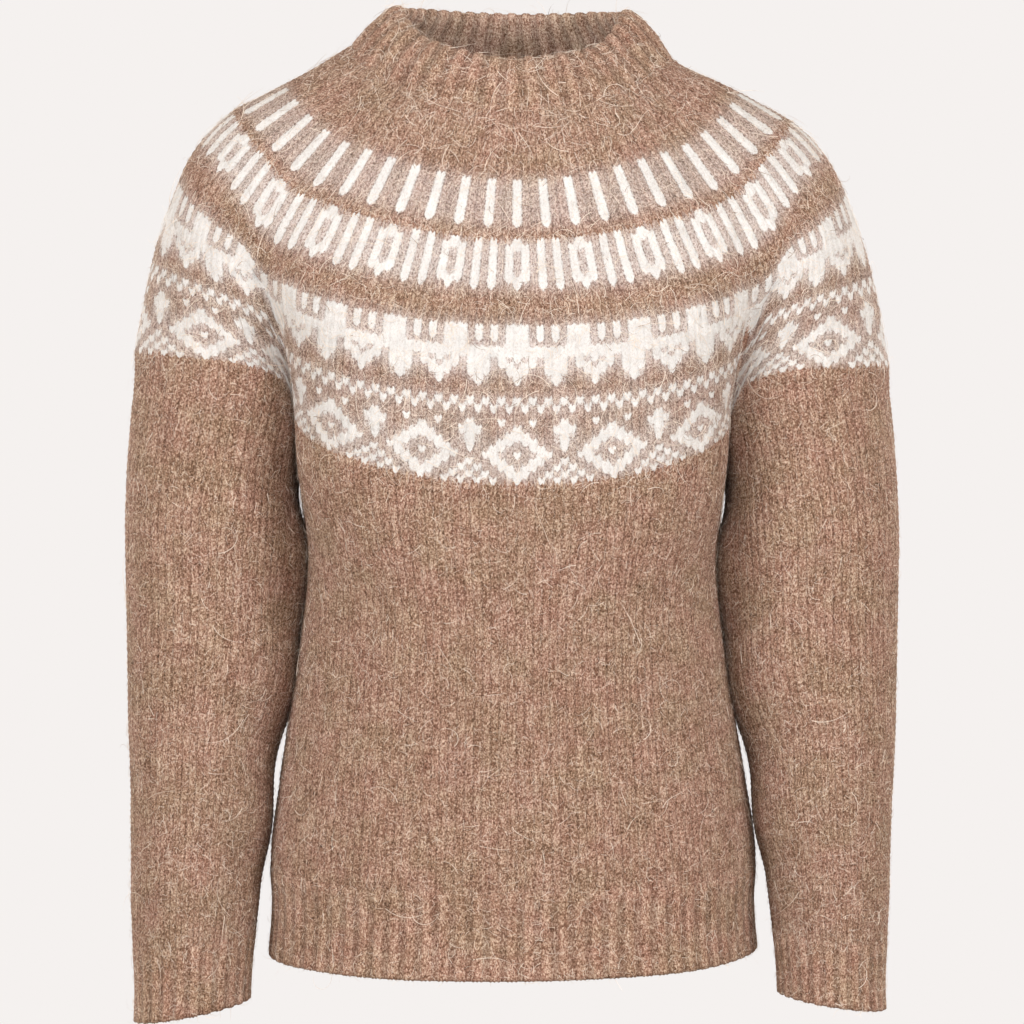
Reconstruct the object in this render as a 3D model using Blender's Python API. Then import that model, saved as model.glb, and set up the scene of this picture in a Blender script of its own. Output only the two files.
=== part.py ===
"""A round-yoke wool pullover, filled out and hanging free, as eight knitted tubes."""

import collections
import math

import bpy
import numpy as np

# All sizes are in metres. The front faces -Y, up is +Z, +X is the picture's right, and the
# origin is at the base of the neck, level with the tops of the shoulders.

COLLECTION = "round_yoke_pullover"

# Cloth and seams
WALL = 0.0026
RIB_WALL = 0.0028
NECK_WALL = 0.0050
NECK_RIB_RISE = 0.0013
HEM_RIB_RISE = 0.0012
CUFF_RIB_RISE = 0.0011
SEAM_GAP = 0.0004
UNDERARM_GAP = 0.0008
SEAM_REACH = 0.03

# Ribs around each band
NECK_RIBS = 44
HEM_RIBS = 82
CUFF_RIBS = 26

# Points around the plain tubes, between the lines that a ring is drawn by
FRONT_STEPS = 11
ARM_STEPS = 8
UNDERARM_STEPS = 6
YOKE_STEPS = 12
NECK_LEVELS = 21
BODY_SHARES = (0.0, 0.07, 0.16, 0.27, 0.40, 0.53, 0.66, 0.80, 0.91, 1.0)
SLEEVE_SHARES = (0.0, 0.06, 0.13, 0.22, 0.32, 0.42, 0.52, 0.63, 0.74, 0.86, 1.0)
CURVE_SAMPLES = 96

# How far a ring's curve runs straight on from each of its points, as a share of the chord.
# The first figure is for the ring at the neckband and the second for the yoke's lower edge.
Reach = collections.namedtuple("Reach", "middle fold_in fold_out side")
REACH_AT_NECK = Reach(middle=0.37, fold_in=0.36, fold_out=0.35, side=0.36)
REACH_AT_EDGE = Reach(middle=0.54, fold_in=0.40, fold_out=0.50, side=0.52)

# The yoke, by share of its depth from the neckband down to its lower edge
Line = collections.namedtuple("Line", "share x y z")
FRONT_LINE = (
    Line(0.000, 0.0, -0.0880, -0.0440),
    Line(0.125, 0.0, -0.0960, -0.0750),
    Line(0.250, 0.0, -0.1040, -0.1060),
    Line(0.375, 0.0, -0.1110, -0.1370),
    Line(0.500, 0.0, -0.1165, -0.1690),
    Line(0.625, 0.0, -0.1210, -0.2010),
    Line(0.750, 0.0, -0.1245, -0.2330),
    Line(0.875, 0.0, -0.1265, -0.2650),
    Line(1.000, 0.0, -0.1275, -0.2970),
)
BACK_LINE = (
    Line(0.000, 0.0, 0.0850, 0.0000),
    Line(0.125, 0.0, 0.0960, -0.0300),
    Line(0.250, 0.0, 0.1060, -0.0610),
    Line(0.375, 0.0, 0.1135, -0.0940),
    Line(0.500, 0.0, 0.1190, -0.1270),
    Line(0.625, 0.0, 0.1220, -0.1600),
    Line(0.750, 0.0, 0.1225, -0.1940),
    Line(0.875, 0.0, 0.1210, -0.2270),
    Line(1.000, 0.0, 0.1180, -0.2600),
)
SIDE_LINE = (
    Line(0.000, 0.1120, 0.0, 0.0080),
    Line(0.125, 0.1410, 0.0, -0.0102),
    Line(0.250, 0.1712, 0.0, -0.0267),
    Line(0.375, 0.2006, 0.0, -0.0438),
    Line(0.500, 0.2229, 0.0, -0.0698),
    Line(0.625, 0.2369, 0.0, -0.1010),
    Line(0.750, 0.2480, 0.0, -0.1334),
    Line(0.875, 0.2560, 0.0, -0.1668),
    Line(1.000, 0.2620, 0.0, -0.2009),
)

# The folds where the arms meet the chest and the back. turn_in and turn_out are the ring's
# directions, in degrees, as it comes to the fold from the middle and as it leaves for the arm.
Fold = collections.namedtuple("Fold", "share x y z turn_in turn_out")
FRONT_FOLD = (
    Fold(0.000, 0.0790, -0.0625, -0.0270, 38, 38),
    Fold(0.125, 0.0990, -0.0710, -0.0520, 36, 36),
    Fold(0.250, 0.1200, -0.0770, -0.0790, 34, 34),
    Fold(0.375, 0.1420, -0.0800, -0.1080, 34, 33),
    Fold(0.500, 0.1610, -0.0780, -0.1380, 40, 24),
    Fold(0.625, 0.1640, -0.0690, -0.1690, 58, -6),
    Fold(0.750, 0.1575, -0.0570, -0.1980, 75, -36),
    Fold(0.875, 0.1520, -0.0450, -0.2250, 86, -60),
    Fold(1.000, 0.1490, -0.0350, -0.2500, 92, -75),
)
BACK_FOLD = (
    Fold(0.000, 0.0790, 0.0610, 0.0040, 38, 38),
    Fold(0.125, 0.0990, 0.0730, -0.0220, 36, 36),
    Fold(0.250, 0.1200, 0.0800, -0.0500, 34, 34),
    Fold(0.375, 0.1420, 0.0840, -0.0800, 34, 33),
    Fold(0.500, 0.1610, 0.0820, -0.1120, 40, 24),
    Fold(0.625, 0.1640, 0.0730, -0.1450, 58, -6),
    Fold(0.750, 0.1575, 0.0600, -0.1780, 75, -36),
    Fold(0.875, 0.1520, 0.0470, -0.2110, 86, -60),
    Fold(1.000, 0.1490, 0.0360, -0.2440, 92, -75),
)
UNDERARM_DIP = 0.0130

# The neckband: its rim, and the share of the band's height at which each ring stands
RIM_FRONT = (0.0, -0.0640, -0.0050)
RIM_BACK = (0.0, 0.0640, 0.0425)
RIM_SIDE = (0.0800, 0.0, 0.0400)
RIM_FRONT_FOLD = (0.0566, -0.0453, 0.0085)
RIM_BACK_FOLD = (0.0566, 0.0453, 0.0420)
RIM_TURN = 38
NECK_BULGE = 0.0030
Profile = collections.namedtuple("Profile", "share depth rib")
NECK_PROFILE = (
    Profile(0.000, 0.00, 1.0),
    Profile(0.300, 0.00, 1.0),
    Profile(0.640, 0.00, 1.0),
    Profile(0.930, 0.03, 1.0),
    Profile(1.000, 0.34, 0.5),
    Profile(0.990, 0.72, 0.0),
    Profile(0.900, 1.00, 0.0),
    Profile(0.480, 1.00, 0.0),
    Profile(0.000, 1.00, 0.0),
)

# The body, by share of the way from the yoke's edge to the hem's ribs, and on down the ribs
Section = collections.namedtuple("Section", "share half_width front_y back_y")
TRUNK = (
    Section(0.000, 0.1490, -0.1275, 0.1180),
    Section(0.128, 0.1447, -0.1275, 0.1160),
    Section(0.250, 0.1415, -0.1265, 0.1130),
    Section(0.415, 0.1450, -0.1235, 0.1085),
    Section(0.567, 0.1515, -0.1210, 0.1070),
    Section(0.685, 0.1570, -0.1200, 0.1075),
    Section(0.820, 0.1630, -0.1205, 0.1100),
    Section(0.938, 0.1675, -0.1222, 0.1135),
    Section(1.000, 0.1680, -0.1222, 0.1138),
    Section(1.060, 0.1668, -0.1215, 0.1132),
    Section(1.120, 0.1675, -0.1224, 0.1145),
    Section(1.180, 0.1692, -0.1245, 0.1170),
)
HEM_SHARES = (1.000, 1.060, 1.120, 1.180)
BODY_ROUNDNESS = 0.63
Level = collections.namedtuple("Level", "front side back")
HEM_TOP = Level(front=-0.5730, side=-0.5640, back=-0.5580)
HEM_END = Level(front=-0.6270, side=-0.6185, back=-0.6125)
BODY_BLEND = 0.38

# The sleeves, by share of the way from the yoke's edge to the cuff's ribs. tilt is the
# fall of a ring from its inner to its outer side.
Tube = collections.namedtuple("Tube", "share x y z half_width half_depth tilt")
ARM = (
    Tube(0.00, 0.2056, 0.000, -0.2280, 0.0566, 0.0640, 0.55),
    Tube(0.10, 0.2092, 0.000, -0.2620, 0.0602, 0.0645, 0.40),
    Tube(0.22, 0.2068, 0.000, -0.3100, 0.0636, 0.0635, 0.22),
    Tube(0.40, 0.2064, -0.002, -0.3850, 0.0628, 0.0605, 0.08),
    Tube(0.50, 0.2088, -0.005, -0.4270, 0.0592, 0.0585, 0.04),
    Tube(0.59, 0.2128, -0.009, -0.4640, 0.0542, 0.0565, 0.01),
    Tube(0.70, 0.2146, -0.014, -0.5050, 0.0500, 0.0540, -0.02),
    Tube(0.82, 0.2170, -0.021, -0.5480, 0.0460, 0.0510, -0.06),
    Tube(0.93, 0.2188, -0.027, -0.5870, 0.0430, 0.0485, -0.10),
    Tube(1.00, 0.2195, -0.031, -0.6130, 0.0405, 0.0460, -0.13),
    Tube(1.05, 0.2198, -0.033, -0.6310, 0.0390, 0.0442, -0.14),
    Tube(1.10, 0.2202, -0.035, -0.6480, 0.0385, 0.0437, -0.16),
    Tube(1.14, 0.2206, -0.037, -0.6610, 0.0390, 0.0442, -0.17),
)
CUFF_SHARES = (1.00, 1.04, 1.09, 1.14)
SLEEVE_BLEND = 0.30
LEFT_CUFF_EASE = 1.03
RIGHT_CUFF_EASE = 0.96
EASE_FROM = 0.60

# Where a sleeve lies along the body, it follows the body's side at this distance
SIDE_CLEARANCE = 0.0013

# Soft folds in the hanging cloth
BODY_FOLD = 0.0016
BODY_FOLD_WAVES = 9
SLEEVE_FOLD = 0.0022
SLEEVE_FOLD_PITCH = 0.095

# The garment hangs a little askew: its yoke falls to the picture's right, most at the neck
Lean = collections.namedtuple("Lean", "height rise")
LEANS = (
    Lean(-0.665, 0.016),
    Lean(-0.600, 0.004),
    Lean(-0.240, -0.018),
)
NECK_DROP = 0.050
NECK_DROP_HEIGHT = 0.006
NECK_DROP_REACH = 0.014

# Colours of the two wools
TAUPE = (0.43, 0.29, 0.21, 1.0)
CREAM = (0.90, 0.86, 0.80, 1.0)


def clear_scene():
    """Removes every object that the startup file brings."""
    for item in list(bpy.data.objects):
        bpy.data.objects.remove(item, do_unlink=True)


def new_collection(name):
    """A collection linked to the scene."""
    made = bpy.data.collections.new(name)
    bpy.context.scene.collection.children.link(made)
    return made


def wool(name, colour, roughness):
    """A plain wool material of one colour."""
    material = bpy.data.materials.new(name)
    material.use_nodes = True
    shader = material.node_tree.nodes["Principled BSDF"]
    shader.inputs["Base Color"].default_value = colour
    shader.inputs["Roughness"].default_value = roughness
    material.diffuse_color = colour
    return material


def column(table, name, share):
    """A table column's value at a share, on a smooth curve through its rows."""
    at = np.array([row.share for row in table])
    values = np.array([getattr(row, name) for row in table], float)
    slopes = np.gradient(values, at)
    share = min(max(share, at[0]), at[-1])
    i = min(max(int(np.searchsorted(at, share)) - 1, 0), len(at) - 2)
    step = at[i + 1] - at[i]
    s = (share - at[i]) / step
    start = values[i] * (2 * s**3 - 3 * s**2 + 1) + values[i + 1] * (3 * s**2 - 2 * s**3)
    bend = slopes[i] * (s**3 - 2 * s**2 + s) + slopes[i + 1] * (s**3 - s**2)
    return start + step * bend


def place(table, share):
    """The point of a table with x, y and z columns at a share."""
    return np.array([column(table, name, share) for name in ("x", "y", "z")])


def eased(value):
    """0 below 0, 1 above 1, and a smooth rise between."""
    value = np.clip(value, 0.0, 1.0)
    return value * value * (3 - 2 * value)


def spread(points, shares):
    """Points of a polyline at shares of its length."""
    lengths = np.linalg.norm(np.diff(points, axis=0), axis=1)
    along = np.concatenate([[0.0], np.cumsum(lengths)])
    wanted = np.asarray(shares) * along[-1]
    return np.stack([np.interp(wanted, along, points[:, k]) for k in range(3)], axis=1)


def bezier(start, first, second, end):
    """A cubic curve as a fine polyline."""
    s = np.linspace(0.0, 1.0, CURVE_SAMPLES)[:, None]
    near = start * (1 - s) ** 3 + 3 * first * s * (1 - s) ** 2
    return near + 3 * second * s**2 * (1 - s) + end * s**3


def quarter(middle, fold, side, turn_in, turn_out, share):
    """Two polylines: from a ring's middle to the fold, and from the fold to its side.

    It is worked out for the front. The back passes its points with y turned round."""
    reach = [a + (b - a) * share for a, b in zip(REACH_AT_NECK, REACH_AT_EDGE)]
    reach = Reach(*reach)
    to_fold = float(np.linalg.norm((fold - middle)[:2]))
    to_side = float(np.linalg.norm((side - fold)[:2]))
    rise = (side[2] - middle[2]) / (to_fold + to_side)
    turn_in = math.radians(turn_in)
    turn_out = math.radians(turn_out)
    arriving = np.array([math.cos(turn_in), math.sin(turn_in), 0.8 * rise])
    leaving = np.array([math.cos(turn_out), math.sin(turn_out), (1.0 + 0.5 * share) * rise])
    first = bezier(
        middle,
        middle + np.array([reach.middle * to_fold, 0.0, 0.0]),
        fold - reach.fold_in * to_fold * arriving,
        fold,
    )
    second = bezier(
        fold,
        fold + reach.fold_out * to_side * leaving,
        side - np.array([0.0, reach.side * to_side, 0.0]),
        side,
    )
    return first, second


FLIP_Y = np.array([1.0, -1.0, 1.0])
FLIP_X = np.array([-1.0, 1.0, 1.0])


def yoke_quarters(share):
    """The front and the back quarter of the yoke's ring at a share, each as two polylines."""
    side = place(SIDE_LINE, share)
    front = quarter(
        place(FRONT_LINE, share),
        place(FRONT_FOLD, share),
        side,
        column(FRONT_FOLD, "turn_in", share),
        column(FRONT_FOLD, "turn_out", share),
        share,
    )
    back = quarter(
        place(BACK_LINE, share) * FLIP_Y,
        place(BACK_FOLD, share) * FLIP_Y,
        side * FLIP_Y,
        column(BACK_FOLD, "turn_in", share),
        column(BACK_FOLD, "turn_out", share),
        share,
    )
    return front, (back[0] * FLIP_Y, back[1] * FLIP_Y)


def rim_quarters():
    """The same for the neckband's rim."""
    side = np.array(RIM_SIDE)
    front = quarter(
        np.array(RIM_FRONT), np.array(RIM_FRONT_FOLD), side, RIM_TURN, RIM_TURN, 0.0
    )
    back = quarter(
        np.array(RIM_BACK) * FLIP_Y,
        np.array(RIM_BACK_FOLD) * FLIP_Y,
        side,
        RIM_TURN,
        RIM_TURN,
        0.0,
    )
    return front, (back[0] * FLIP_Y, back[1] * FLIP_Y)


def whole_ring(front, back):
    """A closed ring from its front and back quarters on the right, and their mirror images."""
    right = np.concatenate([front[:-1], back[::-1]])
    left = right[1:-1][::-1] * FLIP_X
    return np.concatenate([right, left])


def ring_by_fold(quarters, front_steps, arm_steps):
    """A ring with even steps between its middle, its folds and its sides."""
    sides = []
    for to_fold, to_side in quarters:
        near = spread(to_fold, np.linspace(0, 1, front_steps + 1))
        far = spread(to_side, np.linspace(0, 1, arm_steps + 1))
        sides.append(np.concatenate([near[:-1], far]))
    return whole_ring(*sides)


def ring_by_length(quarters, steps):
    """A ring with even steps all round each quarter."""
    sides = []
    for to_fold, to_side in quarters:
        line = np.concatenate([to_fold[:-1], to_side])
        sides.append(spread(line, np.linspace(0, 1, steps + 1)))
    return whole_ring(*sides)


def outward(rings, top=None, end=None):
    """Unit normals of a grid of rings that run from the top down.

    top and end are how the cloth runs across the seams there, so that both sides agree."""
    around = np.roll(rings, -1, axis=1) - np.roll(rings, 1, axis=1)
    down = np.gradient(rings, axis=0)
    if top is not None:
        down[0] = top
    if end is not None:
        down[-1] = end
    normals = np.cross(around, down)
    normals /= np.linalg.norm(normals, axis=2, keepdims=True)
    centre = rings.mean(axis=1, keepdims=True)
    if ((rings - centre) * normals).sum() < 0:
        normals = -normals
    return normals


def leaned(points):
    """Points with the garment's slight lean, in which z falls or rises with x."""
    points = points.copy()
    x = points[..., 0]
    z = points[..., 2]
    rise = np.interp(z, [lean.height for lean in LEANS], [lean.rise for lean in LEANS])
    near = np.exp(-(((z - NECK_DROP_HEIGHT) / NECK_DROP_REACH) ** 2))
    points[..., 2] = z + x * rise - NECK_DROP * np.maximum(x, 0.0) * near
    return points


def tube(name, rings, material, home):
    """A closed wall from rings that go down its outside and come back up its inside."""
    rings = leaned(np.asarray(rings))
    count, around = rings.shape[:2]
    points = rings.reshape(-1, 3)
    faces = []
    for i in range(count):
        this = i * around
        below = (i + 1) % count * around
        for j in range(around):
            k = (j + 1) % around
            faces.append((this + j, this + k, below + k, below + j))
    corners = points[np.array(faces)]
    volume = np.einsum("ij,ij->i", corners[:, 0], np.cross(corners[:, 1], corners[:, 2])).sum()
    volume += np.einsum("ij,ij->i", corners[:, 0], np.cross(corners[:, 2], corners[:, 3])).sum()
    if volume < 0:
        faces = [face[::-1] for face in faces]
    mesh = bpy.data.meshes.new(name)
    mesh.from_pydata(points.tolist(), [], faces)
    mesh.materials.append(material)
    item = bpy.data.objects.new(name, mesh)
    home.objects.link(item)
    return item


def plain_wall(rings, thickness, top=None, end=None):
    """Rings for a wall whose inside follows its outside."""
    inner = rings - outward(rings, top, end) * thickness
    return np.concatenate([rings, inner[::-1]])


def ribbed_wall(rings, thickness, rise, top=None, end=None):
    """Rings for a wall with every second line of its outside raised over a plain inside."""
    normals = outward(rings, top, end)
    inner = rings - normals * thickness
    outer = rings.copy()
    outer[:, ::2] += normals[:, ::2] * rise
    return np.concatenate([outer, inner[::-1]])


def neck_quarters(share):
    """The neckband's ring at a share of its height, as yoke_quarters gives the yoke's."""
    made = []
    for low, high in zip(yoke_quarters(0.0), rim_quarters()):
        lines = []
        for below, above in zip(low, high):
            line = below * (1 - share) + above * share
            radius = np.linalg.norm(line[:, :2], axis=1, keepdims=True)
            line[:, :2] *= 1 - NECK_BULGE * math.sin(math.pi * share) / radius
            lines.append(line)
        made.append(lines)
    return made


def neck_seam(ring_of, steps):
    """How the cloth runs across the seam of the neckband and the yoke."""
    above = ring_of(neck_quarters(SEAM_REACH), *steps)
    return ring_of(yoke_quarters(SEAM_REACH), *steps) - above


def neckband_rings():
    """The folded neckband, from its seam over the rim and down its inside."""
    steps = (NECK_RIBS // 2,)
    shares = np.linspace(1.0, 0.0, NECK_LEVELS)
    grid = np.array([ring_by_length(neck_quarters(share), *steps) for share in shares])
    normals = outward(grid, end=neck_seam(ring_by_length, steps))
    up = grid[0] - grid[-1]
    up /= np.linalg.norm(up, axis=1, keepdims=True)
    rings = []
    for step in NECK_PROFILE:
        level = (1.0 - step.share) * (NECK_LEVELS - 1)
        i = min(int(level), NECK_LEVELS - 2)
        part = level - i
        ring = grid[i] * (1 - part) + grid[i + 1] * part
        normal = normals[i] * (1 - part) + normals[i + 1] * part
        ring = ring - normal * (NECK_WALL * step.depth)
        ring[::2] += normal[::2] * (NECK_RIB_RISE * step.rib)
        rings.append(ring + up * SEAM_GAP * (1.0 - step.share))
    return rings


def yoke_rings():
    """The yoke's outside from the neckband to its lower edge."""
    rings = []
    for share in np.linspace(0.0, 1.0, YOKE_STEPS + 1):
        rings.append(ring_by_fold(yoke_quarters(share), FRONT_STEPS, ARM_STEPS))
    return np.array(rings)


def underarm(offset):
    """The line under the right arm, from the front fold to the back fold."""
    front = place(FRONT_FOLD, 1.0)
    back = place(BACK_FOLD, 1.0)
    shares = np.linspace(0, 1, UNDERARM_STEPS + 1)
    line = front + (back - front) * shares[:, None]
    line[:, 0] += offset
    line[:, 2] -= UNDERARM_DIP * np.sin(math.pi * shares)
    return line


def body_top():
    """The right half of the body's upper edge, from the front's middle to the back's."""
    front, back = yoke_quarters(1.0)
    fore = spread(front[0], np.linspace(0, 1, FRONT_STEPS + 1))
    rear = spread(back[0], np.linspace(0, 1, FRONT_STEPS + 1))
    under = underarm(-UNDERARM_GAP / 2)
    half = np.concatenate([fore[:-1], under, rear[::-1][1:]])
    half[:, 2] -= SEAM_GAP
    return half


def half_section(half_width, front_y, back_y, level, shares):
    """The right half of a level body section, from the front's middle to the back's."""
    reach = BODY_ROUNDNESS
    fore = bezier(
        np.array([0.0, front_y, 0.0]),
        np.array([reach * half_width, front_y, 0.0]),
        np.array([half_width, reach * front_y, 0.0]),
        np.array([half_width, 0.0, 0.0]),
    )
    rear = bezier(
        np.array([half_width, 0.0, 0.0]),
        np.array([half_width, reach * back_y, 0.0]),
        np.array([reach * half_width, back_y, 0.0]),
        np.array([0.0, back_y, 0.0]),
    )
    front_shares = shares[shares <= 1.0]
    back_shares = shares[shares > 1.0] - 1.0
    half = np.concatenate([spread(fore, front_shares), spread(rear, back_shares)])
    toward = np.where(half[:, 1] < 0, half[:, 1] / front_y, half[:, 1] / back_y)
    end = np.where(half[:, 1] < 0, level.front, level.back)
    half[:, 2] = level.side + (end - level.side) * toward
    return half


def quarter_shares(half, middle):
    """Each point's share of its quarter's length: 0 to 1 in front and 1 to 2 behind."""
    lengths = np.linalg.norm(np.diff(half, axis=0), axis=1)
    along = np.concatenate([[0.0], np.cumsum(lengths)])
    turn = np.interp(middle, np.arange(len(half)), along)
    return np.where(along <= turn, along / turn, 1.0 + (along - turn) / (along[-1] - turn))


def soft_folds(rings, shares):
    """Moves a body's rings in and out in shallow upright folds that die out upward."""
    normals = outward(rings)
    normals[..., 2] = 0.0
    angle = np.arctan2(rings[:, :, 0], -rings[:, :, 1])
    wave = np.sin(BODY_FOLD_WAVES * angle + 0.6) + 0.5 * np.sin(5 * angle + 1.7)
    grow = eased((np.asarray(shares) - 0.58) / 0.4)[:, None]
    side = np.abs(np.sin(angle))
    return rings + normals * (BODY_FOLD * wave * grow * side)[..., None]


def trunk_half(share, shares_round):
    """The right half of a trunk section at a share, with its height set by the hem's slope."""
    down = (share - 1.0) / (HEM_SHARES[-1] - 1.0)
    level = Level(*[a + (b - a) * down for a, b in zip(HEM_TOP, HEM_END)])
    return half_section(
        column(TRUNK, "half_width", share),
        column(TRUNK, "front_y", share),
        column(TRUNK, "back_y", share),
        level,
        shares_round,
    )


def both_halves(half):
    """A closed ring from its right half."""
    return np.concatenate([half, half[1:-1][::-1] * FLIP_X])


def hem_seam(shares_round):
    """How the cloth runs across the seam of the body and the hem's ribs."""
    above = both_halves(trunk_half(1.0 - SEAM_REACH, shares_round))
    return both_halves(trunk_half(1.0 + SEAM_REACH, shares_round)) - above


def body_rings():
    """The body's outside from the yoke to the hem's ribs, and its run across the seam."""
    top = body_top()
    shares_round = quarter_shares(top, FRONT_STEPS + UNDERARM_STEPS / 2)
    rings = []
    for share in BODY_SHARES:
        half = trunk_half(share, shares_round)
        last = trunk_half(1.0, shares_round)
        half[:, 2] = top[:, 2] * (1 - share) + last[:, 2] * share
        own = eased(share / BODY_BLEND)
        half[:, :2] = top[:, :2] * (1 - own) + half[:, :2] * own
        half[:, 0][[0, -1]] = 0.0
        rings.append(both_halves(half))
    return soft_folds(np.array(rings), BODY_SHARES), hem_seam(shares_round)


def hem_rings():
    """The hem band's outside, and its run across the seam."""
    shares_round = np.linspace(0, 2, HEM_RIBS + 1)
    rings = []
    for share in HEM_SHARES:
        half = trunk_half(share, shares_round)
        down = (share - 1.0) / (HEM_SHARES[-1] - 1.0)
        half[:, 2] -= SEAM_GAP * (1 - down)
        rings.append(both_halves(half))
    return soft_folds(np.array(rings), np.ones(len(rings))), hem_seam(shares_round)


def sleeve_top():
    """The right sleeve's upper edge as a closed ring from the underarm's middle round the front."""
    front, back = yoke_quarters(1.0)
    fore = spread(front[1], np.linspace(0, 1, ARM_STEPS + 1))
    rear = spread(back[1], np.linspace(0, 1, ARM_STEPS + 1))
    under = underarm(UNDERARM_GAP / 2)
    ring = np.concatenate([fore, rear[::-1][1:], under[::-1][1:-1]])
    ring[:, 2] -= SEAM_GAP
    return ring


def sleeve_section(share, turns, ease):
    """A right sleeve's ring at a share, at turns of its ellipse from the outer side."""
    x, y, z = place(ARM, share)
    width = column(ARM, "half_width", share) * ease
    depth = column(ARM, "half_depth", share) * ease
    tilt = column(ARM, "tilt", share)
    across = width * np.cos(turns)
    return np.stack([x + across, y - depth * np.sin(turns), z + tilt * across], axis=1)


def sleeve_turns(ring):
    """The turn of each point of the sleeve's upper edge about its middle line."""
    x, y, _ = place(ARM, 0.0)
    width = ARM[0].half_width
    depth = ARM[0].half_depth
    return np.arctan2(-(ring[:, 1] - y) / depth, (ring[:, 0] - x) / width)


def even_turns(turns):
    """The same points with their turns evened out, keeping the first one."""
    unwound = np.unwrap(turns)
    count = len(turns)
    step = 2 * math.pi / count
    direction = np.sign(unwound[-1] - unwound[0])
    even = unwound.mean() + direction * step * (np.arange(count) - (count - 1) / 2)
    return 0.5 * unwound + 0.5 * even


def ease_at(share, cuff_ease):
    """How much wider a sleeve is than its table, which grows toward its cuff."""
    return 1 + (cuff_ease - 1) * float(eased((share - EASE_FROM) / (1 - EASE_FROM)))


def sleeve_folds(rings, shares):
    """Moves a sleeve's rings in and out in shallow slanting folds about the elbow."""
    normals = outward(rings)
    across = rings[:, :, 0] - rings[:, :, 0].mean(axis=1, keepdims=True)
    inward = eased(-across / 0.05 + 0.5)
    slant = rings[:, :, 2] + 0.5 * rings[:, :, 1]
    wave = np.sin(2 * math.pi * slant / SLEEVE_FOLD_PITCH)
    shares = np.asarray(shares)
    window = eased(shares / 0.2) * eased((1.0 - shares) / 0.25)
    return rings + normals * (SLEEVE_FOLD * wave * inward * window[:, None])[..., None]


def trunk_side(points):
    """How far out the body's side lies at the depth and height of each point."""
    unit = bezier(
        np.array([0.0, 1.0, 0.0]),
        np.array([BODY_ROUNDNESS, 1.0, 0.0]),
        np.array([1.0, BODY_ROUNDNESS, 0.0]),
        np.array([1.0, 0.0, 0.0]),
    )
    start = FRONT_FOLD[-1].z
    shares = (start - points[:, 2]) / (start - HEM_TOP.side)
    sides = []
    for share, y in zip(shares, points[:, 1]):
        depth = column(TRUNK, "front_y" if y < 0 else "back_y", share)
        part = np.interp(y / depth, unit[::-1, 1], unit[::-1, 0], right=0.0)
        sides.append(part * column(TRUNK, "half_width", share))
    return np.array(sides)


def beside_body(ring):
    """A sleeve's ring with what would reach the body moved out to lie along its side."""
    ring = ring.copy()
    ring[:, 0] = np.maximum(ring[:, 0], trunk_side(ring) + SIDE_CLEARANCE)
    return ring


def cuff_seam(turns, ease):
    """How the cloth runs across the seam of a sleeve and its cuff."""
    above = sleeve_section(1.0 - SEAM_REACH, turns, ease)
    return sleeve_section(1.0 + SEAM_REACH, turns, ease) - above


def sleeve_rings(cuff_ease):
    """The right sleeve's outside from the yoke to its cuff, and its run across the seam."""
    top = sleeve_top()
    evened = even_turns(sleeve_turns(top))
    rings = []
    for share in SLEEVE_SHARES:
        ring = sleeve_section(share, evened, ease_at(share, cuff_ease))
        own = float(eased(share / SLEEVE_BLEND))
        fall = column(ARM, "z", share) - column(ARM, "z", 0.0)
        edge = top + np.array([0.0, 0.0, fall])
        rings.append(edge * (1 - own) + ring * own)
    rings = sleeve_folds(np.array(rings), SLEEVE_SHARES)
    rings[1:] = [beside_body(ring) for ring in rings[1:]]
    return rings, cuff_seam(evened, cuff_ease)


def cuff_rings(cuff_ease):
    """The right cuff's outside, and its run across the seam."""
    turns = np.linspace(0, 2 * math.pi, 2 * CUFF_RIBS, endpoint=False)
    rings = []
    for share in CUFF_SHARES:
        ring = sleeve_section(share, turns, cuff_ease)
        ring[:, 2] -= SEAM_GAP * (CUFF_SHARES[-1] - share) / (CUFF_SHARES[-1] - 1.0)
        rings.append(ring)
    return np.array(rings), cuff_seam(turns, cuff_ease)


def mirrored(rings):
    """Rings on the picture's left in place of its right."""
    return rings * FLIP_X


def build():
    """Makes every tube of the pullover."""
    clear_scene()
    home = new_collection(COLLECTION)
    plain = wool("heather_wool", TAUPE, 0.95)
    patterned = wool("yoke_wool", CREAM, 0.95)
    ribbed = wool("rib_wool", TAUPE, 0.95)
    tube("neckband", neckband_rings(), ribbed, home)
    across_neck = neck_seam(ring_by_fold, (FRONT_STEPS, ARM_STEPS))
    tube("yoke", plain_wall(yoke_rings(), WALL, top=across_neck), patterned, home)
    rings, across = body_rings()
    tube("body", plain_wall(rings, WALL, end=across), plain, home)
    rings, across = hem_rings()
    tube("hem_rib", ribbed_wall(rings, RIB_WALL, HEM_RIB_RISE, top=across), ribbed, home)
    for side, ease in (("right", RIGHT_CUFF_EASE), ("left", LEFT_CUFF_EASE)):
        rings, across = sleeve_rings(ease)
        sleeve = plain_wall(rings, WALL, end=across)
        rings, across = cuff_rings(ease)
        cuff = ribbed_wall(rings, RIB_WALL, CUFF_RIB_RISE, top=across)
        if side == "left":
            sleeve = mirrored(sleeve)
            cuff = mirrored(cuff)
        tube("sleeve_" + side, sleeve, plain, home)
        tube("cuff_" + side, cuff, ribbed, home)


build()
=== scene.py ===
"""A round-yoke wool pullover: its stitches, the yoke's chart, the ribs and the wool's fuzz."""

import collections
import math

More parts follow.
